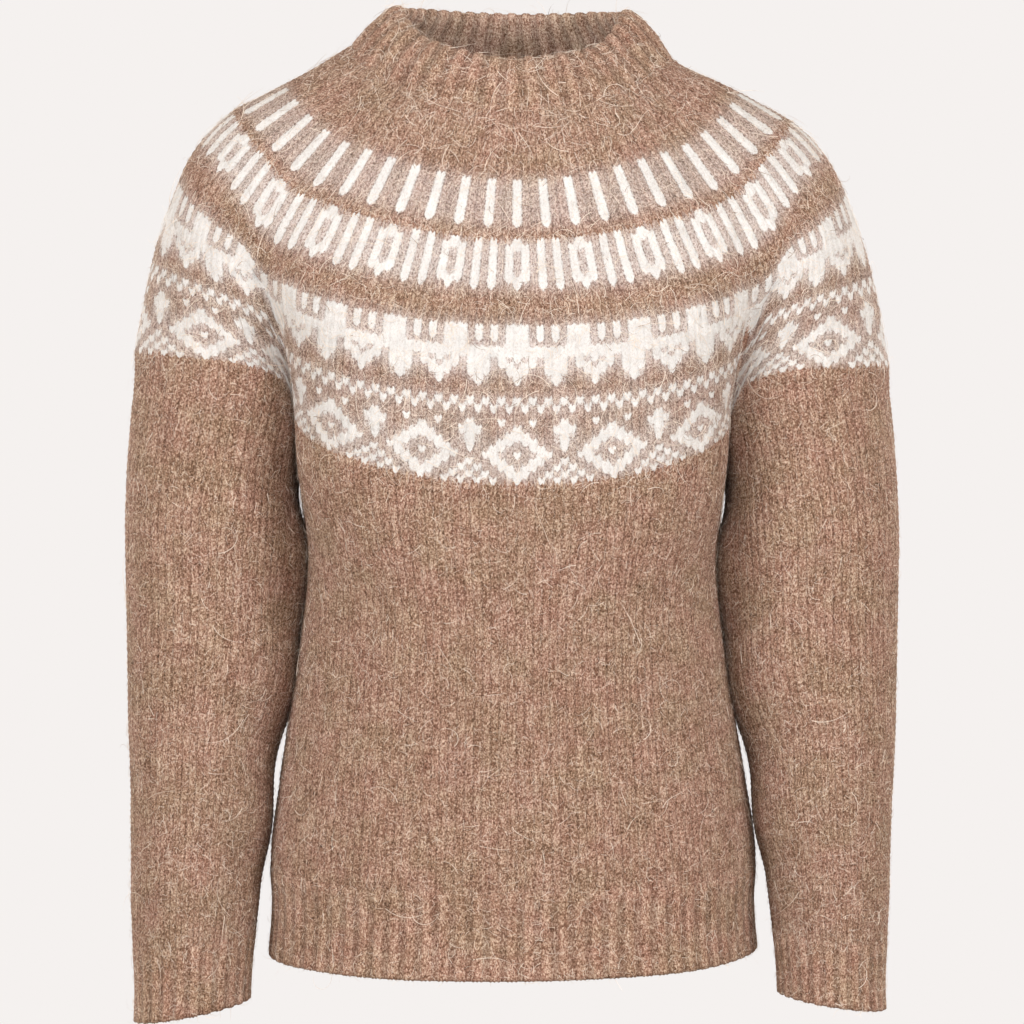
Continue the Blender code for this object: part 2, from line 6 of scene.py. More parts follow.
import bpy
import numpy as np
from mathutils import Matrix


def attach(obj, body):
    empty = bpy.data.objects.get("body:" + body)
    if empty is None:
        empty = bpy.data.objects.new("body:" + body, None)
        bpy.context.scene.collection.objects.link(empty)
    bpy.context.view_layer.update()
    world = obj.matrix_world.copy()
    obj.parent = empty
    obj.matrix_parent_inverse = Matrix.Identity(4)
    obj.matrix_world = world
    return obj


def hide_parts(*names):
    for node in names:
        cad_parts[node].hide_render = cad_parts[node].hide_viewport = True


bl_info = {
    "name": "Round-yoke pullover",
    "version": (1, 0, 0),
    "blender": (4, 5, 0),
    "location": "3D View > Sidebar > Pullover",
    "description": "Knits a round-yoke wool pullover over its packed form",
    "category": "Object",
}

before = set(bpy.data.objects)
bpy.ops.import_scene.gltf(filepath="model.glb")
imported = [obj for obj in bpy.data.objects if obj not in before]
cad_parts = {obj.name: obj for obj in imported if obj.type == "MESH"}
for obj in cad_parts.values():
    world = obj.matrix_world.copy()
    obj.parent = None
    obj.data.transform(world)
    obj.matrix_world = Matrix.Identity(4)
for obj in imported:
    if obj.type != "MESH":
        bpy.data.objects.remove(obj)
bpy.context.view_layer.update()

# Sizes are in metres. The front faces -Y, up is +Z, +X is the picture's right, and the origin
# is at the base of the neck, level with the tops of the shoulders.

# The form follows the solid pieces. The neckband, the cuffs' ends and the inner sides of the
# sleeves lie a few millimetres off them, nearer to how a filled one hangs.
WALL = 0.0026
RIB_WALL = 0.0028
NECK_WALL = 0.0050
UNDERARM_GAP = 0.0008
ARM_STEPS = 8
UNDERARM_STEPS = 6
CURVE_SAMPLES = 96

Reach = collections.namedtuple("Reach", "middle fold_in fold_out side")
REACH_AT_NECK = Reach(middle=0.37, fold_in=0.36, fold_out=0.35, side=0.36)
REACH_AT_EDGE = Reach(middle=0.54, fold_in=0.40, fold_out=0.50, side=0.52)
# How steeply a ring climbs into its fold and out of it, as shares of its rise to the side
CLIMB_IN = 0.8
CLIMB_OUT = 1.0
CLIMB_OUT_GROWTH = 0.5

# The yoke at even steps of its depth, from the neckband down to its lower edge
Line = collections.namedtuple("Line", "share x y z")
Fold = collections.namedtuple("Fold", "share x y z turn_in turn_out")
EIGHTHS = tuple(step / 8 for step in range(9))
MIDDLE = (0.0,) * len(EIGHTHS)


def in_eighths(kind, *columns):
    """A table's rows at every eighth, from its columns."""
    return tuple(kind(*row) for row in zip(EIGHTHS, *columns))


FRONT_LINE = in_eighths(
    Line,
    MIDDLE,
    (-0.0880, -0.0960, -0.1040, -0.1110, -0.1165, -0.1210, -0.1245, -0.1265, -0.1275),
    (-0.0440, -0.0750, -0.1060, -0.1370, -0.1690, -0.2010, -0.2330, -0.2650, -0.2970),
)
BACK_LINE = in_eighths(
    Line,
    MIDDLE,
    (0.0850, 0.0960, 0.1060, 0.1135, 0.1190, 0.1220, 0.1225, 0.1210, 0.1180),
    (0.0000, -0.0300, -0.0610, -0.0940, -0.1270, -0.1600, -0.1940, -0.2270, -0.2600),
)
SIDE_LINE = in_eighths(
    Line,
    (0.1120, 0.1410, 0.1712, 0.2006, 0.2229, 0.2369, 0.2480, 0.2560, 0.2620),
    MIDDLE,
    (0.0080, -0.0102, -0.0267, -0.0438, -0.0698, -0.1010, -0.1334, -0.1668, -0.2009),
)

# The folds where the arms meet the chest and the back
FOLD_X = (0.0790, 0.0990, 0.1200, 0.1420, 0.1610, 0.1640, 0.1575, 0.1520, 0.1490)
TURNS_IN = (38, 36, 34, 34, 40, 58, 75, 86, 92)
TURNS_OUT = (38, 36, 34, 33, 24, -6, -36, -60, -75)
FRONT_FOLD = in_eighths(
    Fold,
    FOLD_X,
    (-0.0625, -0.0710, -0.0770, -0.0800, -0.0780, -0.0690, -0.0570, -0.0450, -0.0350),
    (-0.0270, -0.0520, -0.0790, -0.1080, -0.1380, -0.1690, -0.1980, -0.2250, -0.2500),
    TURNS_IN,
    TURNS_OUT,
)
BACK_FOLD = in_eighths(
    Fold,
    FOLD_X,
    (0.0610, 0.0730, 0.0800, 0.0840, 0.0820, 0.0730, 0.0600, 0.0470, 0.0360),
    (0.0040, -0.0220, -0.0500, -0.0800, -0.1120, -0.1450, -0.1780, -0.2110, -0.2440),
    TURNS_IN,
    TURNS_OUT,
)
UNDERARM_DIP = 0.0130

# The neckband's rim, and its section as shares of the band's height and of its wall
RIM_FRONT = (0.0, -0.0640, -0.0050)
RIM_BACK = (0.0, 0.0640, 0.0425)
RIM_SIDE = (0.0790, 0.0, 0.0375)
RIM_FRONT_FOLD = (0.0566, -0.0453, 0.0085)
RIM_BACK_FOLD = (0.0566, 0.0453, 0.0420)
RIM_TURN = 38
NECK_BULGE = -0.0020
NECK_RINGS = 30
NECK_OVERLAP = 0.08
Profile = collections.namedtuple("Profile", "share depth")
NECK_PROFILE = (
    Profile(-0.060, 0.36),
    Profile(0.060, 0.06),
    Profile(0.400, -0.12),
    Profile(0.760, -0.24),
    Profile(0.880, -0.18),
    Profile(0.950, 0.04),
    Profile(0.992, 0.38),
    Profile(1.000, 0.72),
    Profile(0.975, 1.08),
    Profile(0.910, 1.36),
    Profile(0.800, 1.50),
    Profile(0.480, 1.40),
    Profile(0.000, 1.10),
)

# The body and its hem, by share of the way from the yoke's edge to the hem's ribs
Section = collections.namedtuple("Section", "share half_width front_y back_y")
TRUNK = (
    Section(0.000, 0.1490, -0.1275, 0.1180),
    Section(0.128, 0.1447, -0.1275, 0.1160),
    Section(0.250, 0.1415, -0.1265, 0.1130),
    Section(0.415, 0.1450, -0.1235, 0.1085),
    Section(0.567, 0.1515, -0.1210, 0.1070),
    Section(0.685, 0.1570, -0.1200, 0.1075),
    Section(0.820, 0.1630, -0.1205, 0.1100),
    Section(0.938, 0.1675, -0.1222, 0.1135),
    Section(1.000, 0.1680, -0.1222, 0.1138),
    Section(1.060, 0.1668, -0.1215, 0.1132),
    Section(1.120, 0.1675, -0.1224, 0.1145),
    Section(1.180, 0.1692, -0.1245, 0.1170),
)
HEM_END_SHARE = 1.18
HEM_TUCK_SHARE = 0.012
HEM_RINGS = 16
BODY_ROUNDNESS = 0.63
Level = collections.namedtuple("Level", "front side back")
HEM_TOP = Level(front=-0.5730, side=-0.5640, back=-0.5580)
HEM_END = Level(front=-0.6270, side=-0.6185, back=-0.6125)
BODY_BLEND = 0.38

# The sleeves and their cuffs, by share of the way from the yoke's edge to the cuff's ribs
Tube = collections.namedtuple("Tube", "share x y z half_width half_depth tilt")
ARM = (
    Tube(0.00, 0.2056, 0.000, -0.2280, 0.0566, 0.0640, 0.55),
    Tube(0.10, 0.2092, 0.000, -0.2620, 0.0602, 0.0645, 0.40),
    Tube(0.22, 0.2068, 0.000, -0.3100, 0.0636, 0.0635, 0.22),
    Tube(0.40, 0.2064, -0.002, -0.3850, 0.0628, 0.0605, 0.08),
    Tube(0.50, 0.2088, -0.005, -0.4270, 0.0592, 0.0585, 0.04),
    Tube(0.59, 0.2128, -0.009, -0.4640, 0.0542, 0.0565, 0.01),
    Tube(0.70, 0.2146, -0.014, -0.5050, 0.0500, 0.0540, -0.02),
    Tube(0.82, 0.2170, -0.021, -0.5480, 0.0460, 0.0510, -0.06),
    Tube(0.93, 0.2188, -0.027, -0.5870, 0.0430, 0.0485, -0.10),
    Tube(1.00, 0.2195, -0.031, -0.6130, 0.0405, 0.0460, -0.13),
    Tube(1.05, 0.2198, -0.033, -0.6310, 0.0390, 0.0442, -0.14),
    Tube(1.10, 0.2202, -0.035, -0.6480, 0.0385, 0.0437, -0.16),
    Tube(1.14, 0.2206, -0.037, -0.6610, 0.0390, 0.0442, -0.17),
)
CUFF_END_SHARE = 1.12
CUFF_TUCK_SHARE = 0.01
CUFF_RINGS = 14
SLEEVE_BLEND = 0.30
LEFT_CUFF_EASE = 1.03
RIGHT_CUFF_EASE = 0.96
EASE_FROM = 0.60
SIDE_CLEARANCE = -0.0008

# Soft folds in the hanging cloth: their height, the waves round the body, and the share of its
# length from which they grow, then the height, the pitch and the slant of those on the sleeves
Wave = collections.namedtuple("Wave", "count phase strength")
BODY_FOLD = 0.0016
BODY_WAVES = (Wave(9, 0.6, 1.0), Wave(5, 1.7, 0.5))
BODY_FOLDS_FROM = 0.58
BODY_FOLDS_GROW = 0.4
SLEEVE_FOLD = 0.0022
SLEEVE_FOLD_PITCH = 0.095
SLEEVE_FOLD_SLANT = 0.5

# The garment hangs a little askew: its yoke falls to the picture's right, most at the neck
Lean = collections.namedtuple("Lean", "height rise")
LEANS = (
    Lean(-0.665, 0.016),
    Lean(-0.600, 0.004),
    Lean(-0.240, -0.018),
)
NECK_DROP = 0.050
NECK_DROP_HEIGHT = 0.006
NECK_DROP_REACH = 0.014

# The knitting. A row is 4.2 mm high and a stitch about 5.5 mm wide, in a loose wool.
ROW_HEIGHT = 0.0042
BODY_STITCHES = 156
BODY_ROWS = 70
SLEEVE_STITCHES = 64
SLEEVE_ROWS = 92
NECK_RIBS = 44
HEM_RIBS = 82
CUFF_RIBS = 26

# How one stitch is drawn: five lines across it, of which the middle one lies half a row lower,
# so that its two legs make a V.
LEG_SHIFTS = (2, 1, 0, 1)
LEG_HEIGHTS = (-0.20, 0.55, -1.20, 0.55)
ROW_HEIGHTS = (-0.35, 0.35)

# How far a piece's end row lies under the next piece
TUCK = 0.0013

# One rib of knit and purl, as places across it, what each is raised by, and its shift
RIB_PLACES = (0.0, 0.12, 0.235, 0.335, 0.5, 0.665, 0.765, 0.88)
RIB_HEIGHTS = (0.80, 1.0, 0.62, -0.35, -0.20, -0.35, 0.62, 1.0)
RIB_INSIDE = (-0.20, -0.35, 0.0, 0.55, 0.70, 0.55, 0.0, -0.35)
RIB_SHIFTS = (2, 1, 0, 0, 0, 0, 0, 1)
# Painted light: the inside of a rib band is painted a little lighter, where the lamps reach it
# less.
INSIDE_PAINTED_LIGHT = 1.3
# The share of a band's section that is its outside, where fuzz stands
BAND_OUTSIDE = 0.54
# How far each row of a rib stands up, in knit and in purl, as shares of the rib's height
KNIT_BUMP = 0.10
PURL_BUMP = 0.16
# How uneven the stitches are, as shares of their relief: over a few of them, and one by one
STITCH_SLACK = 0.35
STITCH_UNEVEN = 0.25
RIB_SLACK = 0.10
RIB_UNEVEN = 0.05
STITCH_SLACK_SPAN = 7
RIB_SLACK_SPAN = 9

# Every how many points the plainer inside of a tube has one
INSIDE_STEP = 8

# Where a part lies on the bake's map, and how many stacked strips it is cut into
MapBox = collections.namedtuple("MapBox", "left bottom width height strips")
# How a tube's outside, edges and inside share the height of its box
OUTSIDE_HEIGHT = 0.80
EDGE_LEVEL = 0.81
INSIDE_LEVEL = 0.82
INSIDE_HEIGHT = 0.18

# The yoke's chart, from the neckband down. Each string is one round, o is cream and + is a
# stitch of both wools. The middle of each repeat lies on the front's middle line.
HALF_TONE = 0.40
HAZE_PASSES = 6
PLAIN = (".",)
BARS = (".o.",) * 8
OVALS = (
    "o..o..o.",
    "o.ooo.o.",
    "o.o.o.o.",
    "o.o.o.o.",
    "o.o.o.o.",
    "o.o.o.o.",
    "o.ooo.o.",
    "o..o..o.",
)
FORKS = (
    "o.ooo.o.",
    "o.ooo.o.",
    "o.ooo.o.",
    "..ooo...",
)
CREAM_ROUNDS = ("o", "o")
PEAKS = (
    "oo.o.o.o.o",
    "oo.oo.oo.o",
    "oo..ooo..o",
    "o+..+o+..+",
    "o+...o...+",
)
DOTS = ("o.", ".o")
DIAMONDS = (
    "o...o...o...",
    "oo....o....o",
    "o+...ooo...+",
    "o+..oo+oo..+",
    "o..oo...oo..",
    "..oo..o..oo.",
    "o..oo...oo..",
    ".o..oo.oo..o",
    "o.o..ooo..o.",
    ".o.o..o..o.o",
)
MIDDLES = {1: 0, 2: 0, 3: 1, 8: 3, 10: 5, 12: 6}
Band = collections.namedtuple("Band", "rounds end_share")
CHART = (
    Band(PLAIN * 12, 0.195),
    Band(BARS, 0.325),
    Band(PLAIN * 2, 0.357),
    Band(OVALS, 0.491),
    Band(PLAIN * 5, 0.586),
    Band(FORKS, 0.643),
    Band(CREAM_ROUNDS, 0.670),
    Band(PEAKS, 0.742),
    Band(PLAIN * 2, 0.773),
    Band(DOTS, 0.813),
    Band(PLAIN, 0.832),
    Band(DIAMONDS, 1.0),
)
# Rounds at which stitches are added, and the stitches in each round from there
Increase = collections.namedtuple("Increase", "first last stitches")
YOKE_UPPER = (Increase(0, 22, 144), Increase(22, 32, 192))
YOKE_LOWER = (Increase(32, 61, 240),)

# How much closer the yoke's stitches lie in front and behind than over the arms, by share
Crowd = collections.namedtuple("Crowd", "share amount")
CROWDING = (
    Crowd(0.00, -0.10),
    Crowd(0.26, -0.107),
    Crowd(0.42, -0.10),
    Crowd(0.60, -0.043),
    Crowd(0.70, -0.074),
    Crowd(0.92, -0.146),
    Crowd(1.00, -0.15),
)
# How far the front's middle stitch hangs to the picture's right
CHART_SHIFT = 0.0035

# How much higher the yoke's rounds hang over the arms than their depth says, as shares of the
# yoke's depth: beside the fold at the armpit, at the arm's outer side, and over which share of
# the way between them it sets in
Rise = collections.namedtuple("Rise", "share fold side starts")
RISES = (
    Rise(0.30, 0.000, 0.000, 0.50),
    Rise(0.49, 0.045, 0.035, 0.50),
    Rise(0.68, 0.075, -0.020, 0.10),
    Rise(1.00, 0.085, -0.028, 0.10),
)
# How many even rings the yoke is laid out in before its rounds are raised
FINE_RINGS = 150

# Fuzz: fine fibres that stand off the wool, and long ones that lie over it in curls
Fuzz = collections.namedtuple("Fuzz", "ending count steps length_low length_high width lift curl")
FUZZES = (
    Fuzz("_short", 9000, 2, 0.0030, 0.0080, 0.00026, 0.60, 1.2),
    Fuzz("_middle", 6000, 4, 0.0060, 0.0150, 0.00036, 0.20, 1.2),
    Fuzz("_long", 760, 10, 0.013, 0.040, 0.00044, 0.12, 2.0),
)
# How far a fibre's root lies off the stitches, how wide its tip is as a share of its width, and
# how far it is tumbled about its own line
FIBRE_ROOT = 0.0002
FIBRE_TIP = 0.25
FIBRE_TUMBLE = 0.7
# Which pieces carry it, and how much of the short, the middle and the long fibres they have
Furred = collections.namedtuple("Furred", "name slot pieces amounts")
FURRED = (
    Furred(
        "yoke_fuzz", "yoke_wool", ("yoke_upper", "yoke_lower", "neckband_knit"), (1.0, 1.0, 1.0)
    ),
    Furred("body_fuzz", "heather_wool", ("body_knit", "hem_knit"), (0.9, 0.3, 0.15)),
    Furred(
        "sleeve_fuzz",
        "heather_wool",
        ("sleeve_left_knit", "sleeve_right_knit", "cuff_left_knit", "cuff_right_knit"),
        (1.1, 0.2, 0.12),
    ),
)

# The stage: a floor below the cuffs, and soft square lights that look at the yoke's lower edge
FLOOR_REACH = 3.0
FLOOR_HEIGHT = -0.78
LIGHTS_AIM = (0.0, 0.0, -0.30)
Light = collections.namedtuple("Light", "name spot size power")
LIGHTS = (
    Light("left_light", (-1.9, -1.8, 0.3), 1.0, 37.0),
    Light("right_light", (1.9, -1.8, 0.3), 1.0, 38.0),
    Light("front_light", (0.0, -2.5, -0.1), 1.0, 20.0),
    Light("top_light", (0.0, -1.3, 1.3), 0.8, 4.0),
    Light("left_back_light", (-1.7, 2.0, 0.3), 1.2, 38.0),
    Light("right_back_light", (1.7, 2.0, 0.3), 1.2, 38.0),
)

# The camera stands at the height of the picture's middle and looks straight at the front
CAMERA_DISTANCE = 2.4
CAMERA_HEIGHT = -0.3164
PICTURE_SPAN = 0.7168
SENSOR = 36.0


def column(table, name, share):
    """A table column's values at an array of shares, on a smooth curve through its rows."""
    at = np.array([row.share for row in table])
    values = np.array([getattr(row, name) for row in table], float)
    slopes = np.gradient(values, at)
    share = np.clip(share, at[0], at[-1])
    i = np.clip(np.searchsorted(at, share) - 1, 0, len(at) - 2)
    step = at[i + 1] - at[i]
    s = (share - at[i]) / step
    start = values[i] * (2 * s**3 - 3 * s**2 + 1) + values[i + 1] * (3 * s**2 - 2 * s**3)
    bend = slopes[i] * (s**3 - 2 * s**2 + s) + slopes[i + 1] * (s**3 - s**2)
    return start + step * bend


def place(table, share):
    """The point of a table with x, y and z columns at a share."""
    return np.array([column(table, name, share) for name in ("x", "y", "z")])


def eased(value):
    """0 below 0, 1 above 1, and a smooth rise between."""
    value = np.clip(value, 0.0, 1.0)
    return value * value * (3 - 2 * value)


def steps_of(points):
    """The length of each step of a polyline, or of many side by side."""
    return np.linalg.norm(np.diff(points, axis=0), axis=-1)


def unit(vectors):
    """Vectors made one long."""
    return vectors / np.maximum(np.linalg.norm(vectors, axis=-1, keepdims=True), 1e-12)


def spread(points, shares):
    """Points of a polyline at shares of its length."""
    along = np.concatenate([[0.0], np.cumsum(steps_of(points))])
    wanted = np.asarray(shares) * along[-1]
    return np.stack([np.interp(wanted, along, points[:, k]) for k in range(3)], axis=1)


def bezier(start, first, second, end):
    """A cubic curve as a fine polyline."""
    s = np.linspace(0.0, 1.0, CURVE_SAMPLES)[:, None]
    near = start * (1 - s) ** 3 + 3 * first * s * (1 - s) ** 2
    return near + 3 * second * s**2 * (1 - s) + end * s**3


def quarter(middle, fold, side, turn_in, turn_out, share):
    """Two polylines: from a ring's middle to the fold, and from the fold to its side."""
    reach = Reach(*(a + (b - a) * share for a, b in zip(REACH_AT_NECK, REACH_AT_EDGE)))
    to_fold = float(np.linalg.norm((fold - middle)[:2]))
    to_side = float(np.linalg.norm((side - fold)[:2]))
    rise = (side[2] - middle[2]) / (to_fold + to_side)
    turn_in = math.radians(turn_in)
    turn_out = math.radians(turn_out)
    climb_out = CLIMB_OUT + CLIMB_OUT_GROWTH * share
    arriving = np.array([math.cos(turn_in), math.sin(turn_in), CLIMB_IN * rise])
    leaving = np.array([math.cos(turn_out), math.sin(turn_out), climb_out * rise])
    first = bezier(
        middle,
        middle + np.array([reach.middle * to_fold, 0.0, 0.0]),
        fold - reach.fold_in * to_fold * arriving,
        fold,
    )
    second = bezier(
        fold,
        fold + reach.fold_out * to_side * leaving,
        side - np.array([0.0, reach.side * to_side, 0.0]),
        side,
    )
    return first, second


FLIP_Y = np.array([1.0, -1.0, 1.0])
FLIP_X = np.array([-1.0, 1.0, 1.0])

# Each side's mirroring, how much its cuff is eased, and the seeds of its sleeve and cuff
Side = collections.namedtuple("Side", "name flip cuff_ease sleeve_seed cuff_seed")
SIDES = (
    Side("right", np.ones(3), RIGHT_CUFF_EASE, 21, 51),
    Side("left", FLIP_X, LEFT_CUFF_EASE, 22, 52),
)


def both_quarters(front, back, side, share):
    """A ring's front and back quarters, each as two polylines.

    front and back hold the points at its middle and at its fold, and the fold's two turns."""
    ahead = quarter(front[0], front[1], side, *front[2:], share)
    behind = quarter(back[0] * FLIP_Y, back[1] * FLIP_Y, side * FLIP_Y, *back[2:], share)
    return ahead, (behind[0] * FLIP_Y, behind[1] * FLIP_Y)


def yoke_quarters(share):
    """The quarters of the yoke's ring at a share of its depth."""
    ends = []
    for line, fold in ((FRONT_LINE, FRONT_FOLD), (BACK_LINE, BACK_FOLD)):
        turns = [column(fold, name, share) for name in ("turn_in", "turn_out")]
        ends.append((place(line, share), place(fold, share), *turns))
    return both_quarters(*ends, place(SIDE_LINE, share), share)


def rim_quarters():
    """The quarters of the neckband's rim."""
    front = (np.array(RIM_FRONT), np.array(RIM_FRONT_FOLD), RIM_TURN, RIM_TURN)
    back = (np.array(RIM_BACK), np.array(RIM_BACK_FOLD), RIM_TURN, RIM_TURN)
    return both_quarters(front, back, np.array(RIM_SIDE), 0.0)


def whole_line(quarters):
    """A quarter's two polylines as one, for the front and for the back."""
    return [np.concatenate([line[0][:-1], line[1]]) for line in quarters]


def round_ring(lines, turns):
    """Points of a closed ring from its front and back lines on the right and their mirror images.

    turns are 0 at the front's middle, 1 at the right side, 2 behind and 3 at the left."""
    turns = np.mod(turns, 4.0)
    front, back = lines
    left = turns > 2.0
    folded = np.where(left, 4.0 - turns, turns)
    ring = np.where(
        (folded <= 1.0)[:, None],
        spread(front, np.clip(folded, 0.0, 1.0)),
        spread(back, np.clip(2.0 - folded, 0.0, 1.0)),
    )
    ring[left] *= FLIP_X
    return ring


def outward(rings):
    """Unit normals of a grid of rings, away from the rings' middles."""
    around = np.roll(rings, -1, axis=1) - np.roll(rings, 1, axis=1)
    normals = unit(np.cross(around, np.gradient(rings, axis=0)))
    centre = rings.mean(axis=1, keepdims=True)
    if ((rings - centre) * normals).sum() < 0:
        normals = -normals
    return normals


def leaned(points):
    """Points with the garment's slight lean, in which z falls or rises with x."""
    points = points.copy()
    x = points[..., 0]
    z = points[..., 2]
    rise = np.interp(z, [lean.height for lean in LEANS], [lean.rise for lean in LEANS])
    near = np.exp(-(((z - NECK_DROP_HEIGHT) / NECK_DROP_REACH) ** 2))
    points[..., 2] = z + x * rise - NECK_DROP * np.maximum(x, 0.0) * near
    return points


def neck_lines(share):
    """The neckband's front and back lines at a share of its height."""
    made = []
    for below, above in zip(whole_line(yoke_quarters(0.0)), whole_line(rim_quarters())):
        line = below * (1 - share) + above * share
        radius = np.linalg.norm(line[:, :2], axis=1, keepdims=True)
        line[:, :2] *= 1 - NECK_BULGE * math.sin(math.pi * min(max(share, 0.0), 1.0)) / radius
        made.append(line)
    return made


def neck_path(turns):
    """The neckband's closed section all round: up its outside, over the rim and down inside."""
    shares = np.linspace(-NECK_OVERLAP, 1 + NECK_OVERLAP, NECK_RINGS)
    grid = np.array([round_ring(neck_lines(share), turns) for share in shares])
    normals = outward(grid)
    path = []
    for step in NECK_PROFILE:
        level = np.interp(step.share, shares, np.arange(len(shares)))
        i = min(int(level), len(shares) - 2)
        part = level - i
        ring = grid[i] * (1 - part) + grid[i + 1] * part
        normal = normals[i] * (1 - part) + normals[i + 1] * part
        path.append(ring - normal * (NECK_WALL * step.depth))
    return np.array(path)


def chart_rounds():
    """Every round of the yoke's chart as a string, and the share at each round's edges."""
    rounds = []
    edges = [0.0]
    for band in CHART:
        start = edges[-1]
        count = len(band.rounds)
        edges.extend(start + (band.end_share - start) * (k + 1) / count for k in range(count))
        rounds.extend(band.rounds)
    return rounds, np.array(edges)


ROUNDS, ROUND_EDGES = chart_rounds()


def beyond(rings_at, shares):
    """Rings at shares, carried straight on where a share lies outside 0 to 1."""
    inside = np.clip(shares, 0.0, 1.0)
    rings = rings_at(inside)
    step = 0.01
    if shares[0] < 0.0:
        start = rings_at(np.array([0.0, step]))
        for k in np.flatnonzero(shares < 0.0):
            rings[k] = start[0] + (start[1] - start[0]) * (shares[k] / step)
    if shares[-1] > 1.0:
        end = rings_at(np.array([1.0 - step, 1.0]))
        for k in np.flatnonzero(shares > 1.0):
            rings[k] = end[1] + (end[1] - end[0]) * ((shares[k] - 1.0) / step)
    return rings


def crowded(stitch_shares, share):
    """Turns round the yoke at shares of its stitches, closer together where it is worked so."""
    amount = np.interp(share, [c.share for c in CROWDING], [c.amount for c in CROWDING])
    turned = stitch_shares + amount * np.sin(4 * math.pi * stitch_shares) / (4 * math.pi)
    return 4 * turned


def rise_over_arm(across, shares):
    """How much higher rounds hang, at 0 on the fold to 1 at the arm's outer side."""
    at = [rise.share for rise in RISES]
    fold, side, starts = (
        np.interp(shares, at, [getattr(rise, name) for rise in RISES])
        for name in ("fold", "side", "starts")
    )
    near = (1 - eased(across)) ** 2
    return (side + (fold - side) * near) * eased(across / starts)


def line_length(line):
    """How long a polyline is."""
    return float(steps_of(line).sum())


def across_arm(turns):
    """Where turns of the yoke's lower edge lie: 0 up to the fold and 1 at the arm's side."""
    turns = np.mod(turns, 4.0)
    folded = np.where(turns > 2.0, 4.0 - turns, turns)
    found = []
    for lines, place_in in zip(yoke_quarters(1.0), (folded, 2.0 - folded)):
        chest, arm = (line_length(line) for line in lines)
        fold_at = chest / (chest + arm)
        found.append(np.clip((place_in - fold_at) / (1 - fold_at), 0.0, 1.0))
    return np.where(folded <= 1.0, found[0], found[1])


def yoke_grid(stitch_shares, shares):
    """The yoke's rings at shares of its depth, with one point for each share of a round."""

    def rings_at(inside):
        made = []
        for share in inside:
            lines = whole_line(yoke_quarters(share))
            turns = crowded(stitch_shares, share) + CHART_SHIFT / line_length(lines[0])
            made.append(round_ring(lines, turns))
        return np.array(made)

    fine = np.linspace(min(shares[0], 0.0), shares[-1] - RISES[-1].side + 0.01, FINE_RINGS)
    rings = beyond(rings_at, fine)
    across = across_arm(crowded(stitch_shares, 1.0))[None, :]
    wanted = shares[:, None] - rise_over_arm(across, shares[:, None])
    level = (wanted - fine[0]) / (fine[1] - fine[0])
    above = np.clip(level.astype(int), 0, FINE_RINGS - 2)
    part = (level - above)[..., None]
    every = np.arange(len(stitch_shares))[None, :]
    return rings[above, every] * (1 - part) + rings[above + 1, every] * part


def arm_edge(number):
    """The yoke's lower edge over the right arm from the fold out, in front (0) or behind (1)."""
    step = 0.01
    most = RISES[-1].fold
    line = yoke_quarters(1.0)[number][1]
    near = yoke_quarters(1.0 - step)[number][1]
    high = yoke_quarters(1.0 - most)[number][1]
    steps = steps_of(line)
    across = np.concatenate([[0.0], np.cumsum(steps)]) / steps.sum()
    rise = rise_over_arm(across, 1.0)[:, None]
    raised = line + (high - line) * (rise / most)
    dropped = line + (near - line) * (rise / step)
    return np.where(rise > 0, raised, dropped)


def underarm(offset):
    """The line under the right arm, from the front fold to the back fold."""
    front = place(FRONT_FOLD, 1.0)
    back = place(BACK_FOLD, 1.0)
    shares = np.linspace(0, 1, CURVE_SAMPLES + 1)
    line = front + (back - front) * shares[:, None]
    line[:, 0] += offset
    line[:, 2] -= UNDERARM_DIP * np.sin(math.pi * shares)
    return line


def body_top_lines():
    """The front and back lines of the body's upper edge, out to the middle under the arm."""
    front, back = yoke_quarters(1.0)
    under = underarm(-UNDERARM_GAP / 2)
    half = CURVE_SAMPLES // 2
    fore = np.concatenate([front[0][:-1], under[: half + 1]])
    rear = np.concatenate([back[0][:-1], under[half:][::-1]])
    return fore, rear


def rounded(half_width, depth):
    """A quarter of a rounded section, from its middle to its side."""
    reach = BODY_ROUNDNESS
    return bezier(
        np.array([0.0, depth, 0.0]),
        np.array([reach * half_width, depth, 0.0]),
        np.array([half_width, reach * depth, 0.0]),
        np.array([half_width, 0.0, 0.0]),
    )


def trunk_lines(share):
    """The front and back lines of a trunk section at a share, at the hem's slope."""
    down = (share - 1.0) / (HEM_END_SHARE - 1.0)
    level = Level(*[a + (b - a) * down for a, b in zip(HEM_TOP, HEM_END)])
    half_width = float(column(TRUNK, "half_width", share))
    lines = []
    for name, end in (("front_y", level.front), ("back_y", level.back)):
        depth = float(column(TRUNK, name, share))
        line = rounded(half_width, depth)
        line[:, 2] = level.side + (end - level.side) * line[:, 1] / depth
        lines.append(line)
    return lines


def soft_folds(rings, shares):
    """Moves a body's rings in and out in shallow upright folds that die out upward."""
    normals = outward(rings)
    normals[..., 2] = 0.0
    angle = np.arctan2(rings[:, :, 0], -rings[:, :, 1])
    wave = sum(each.strength * np.sin(each.count * angle + each.phase) for each in BODY_WAVES)
    grow = eased((np.asarray(shares) - BODY_FOLDS_FROM) / BODY_FOLDS_GROW)[:, None]
    side = np.abs(np.sin(angle))
    return rings + normals * (BODY_FOLD * wave * grow * side)[..., None]


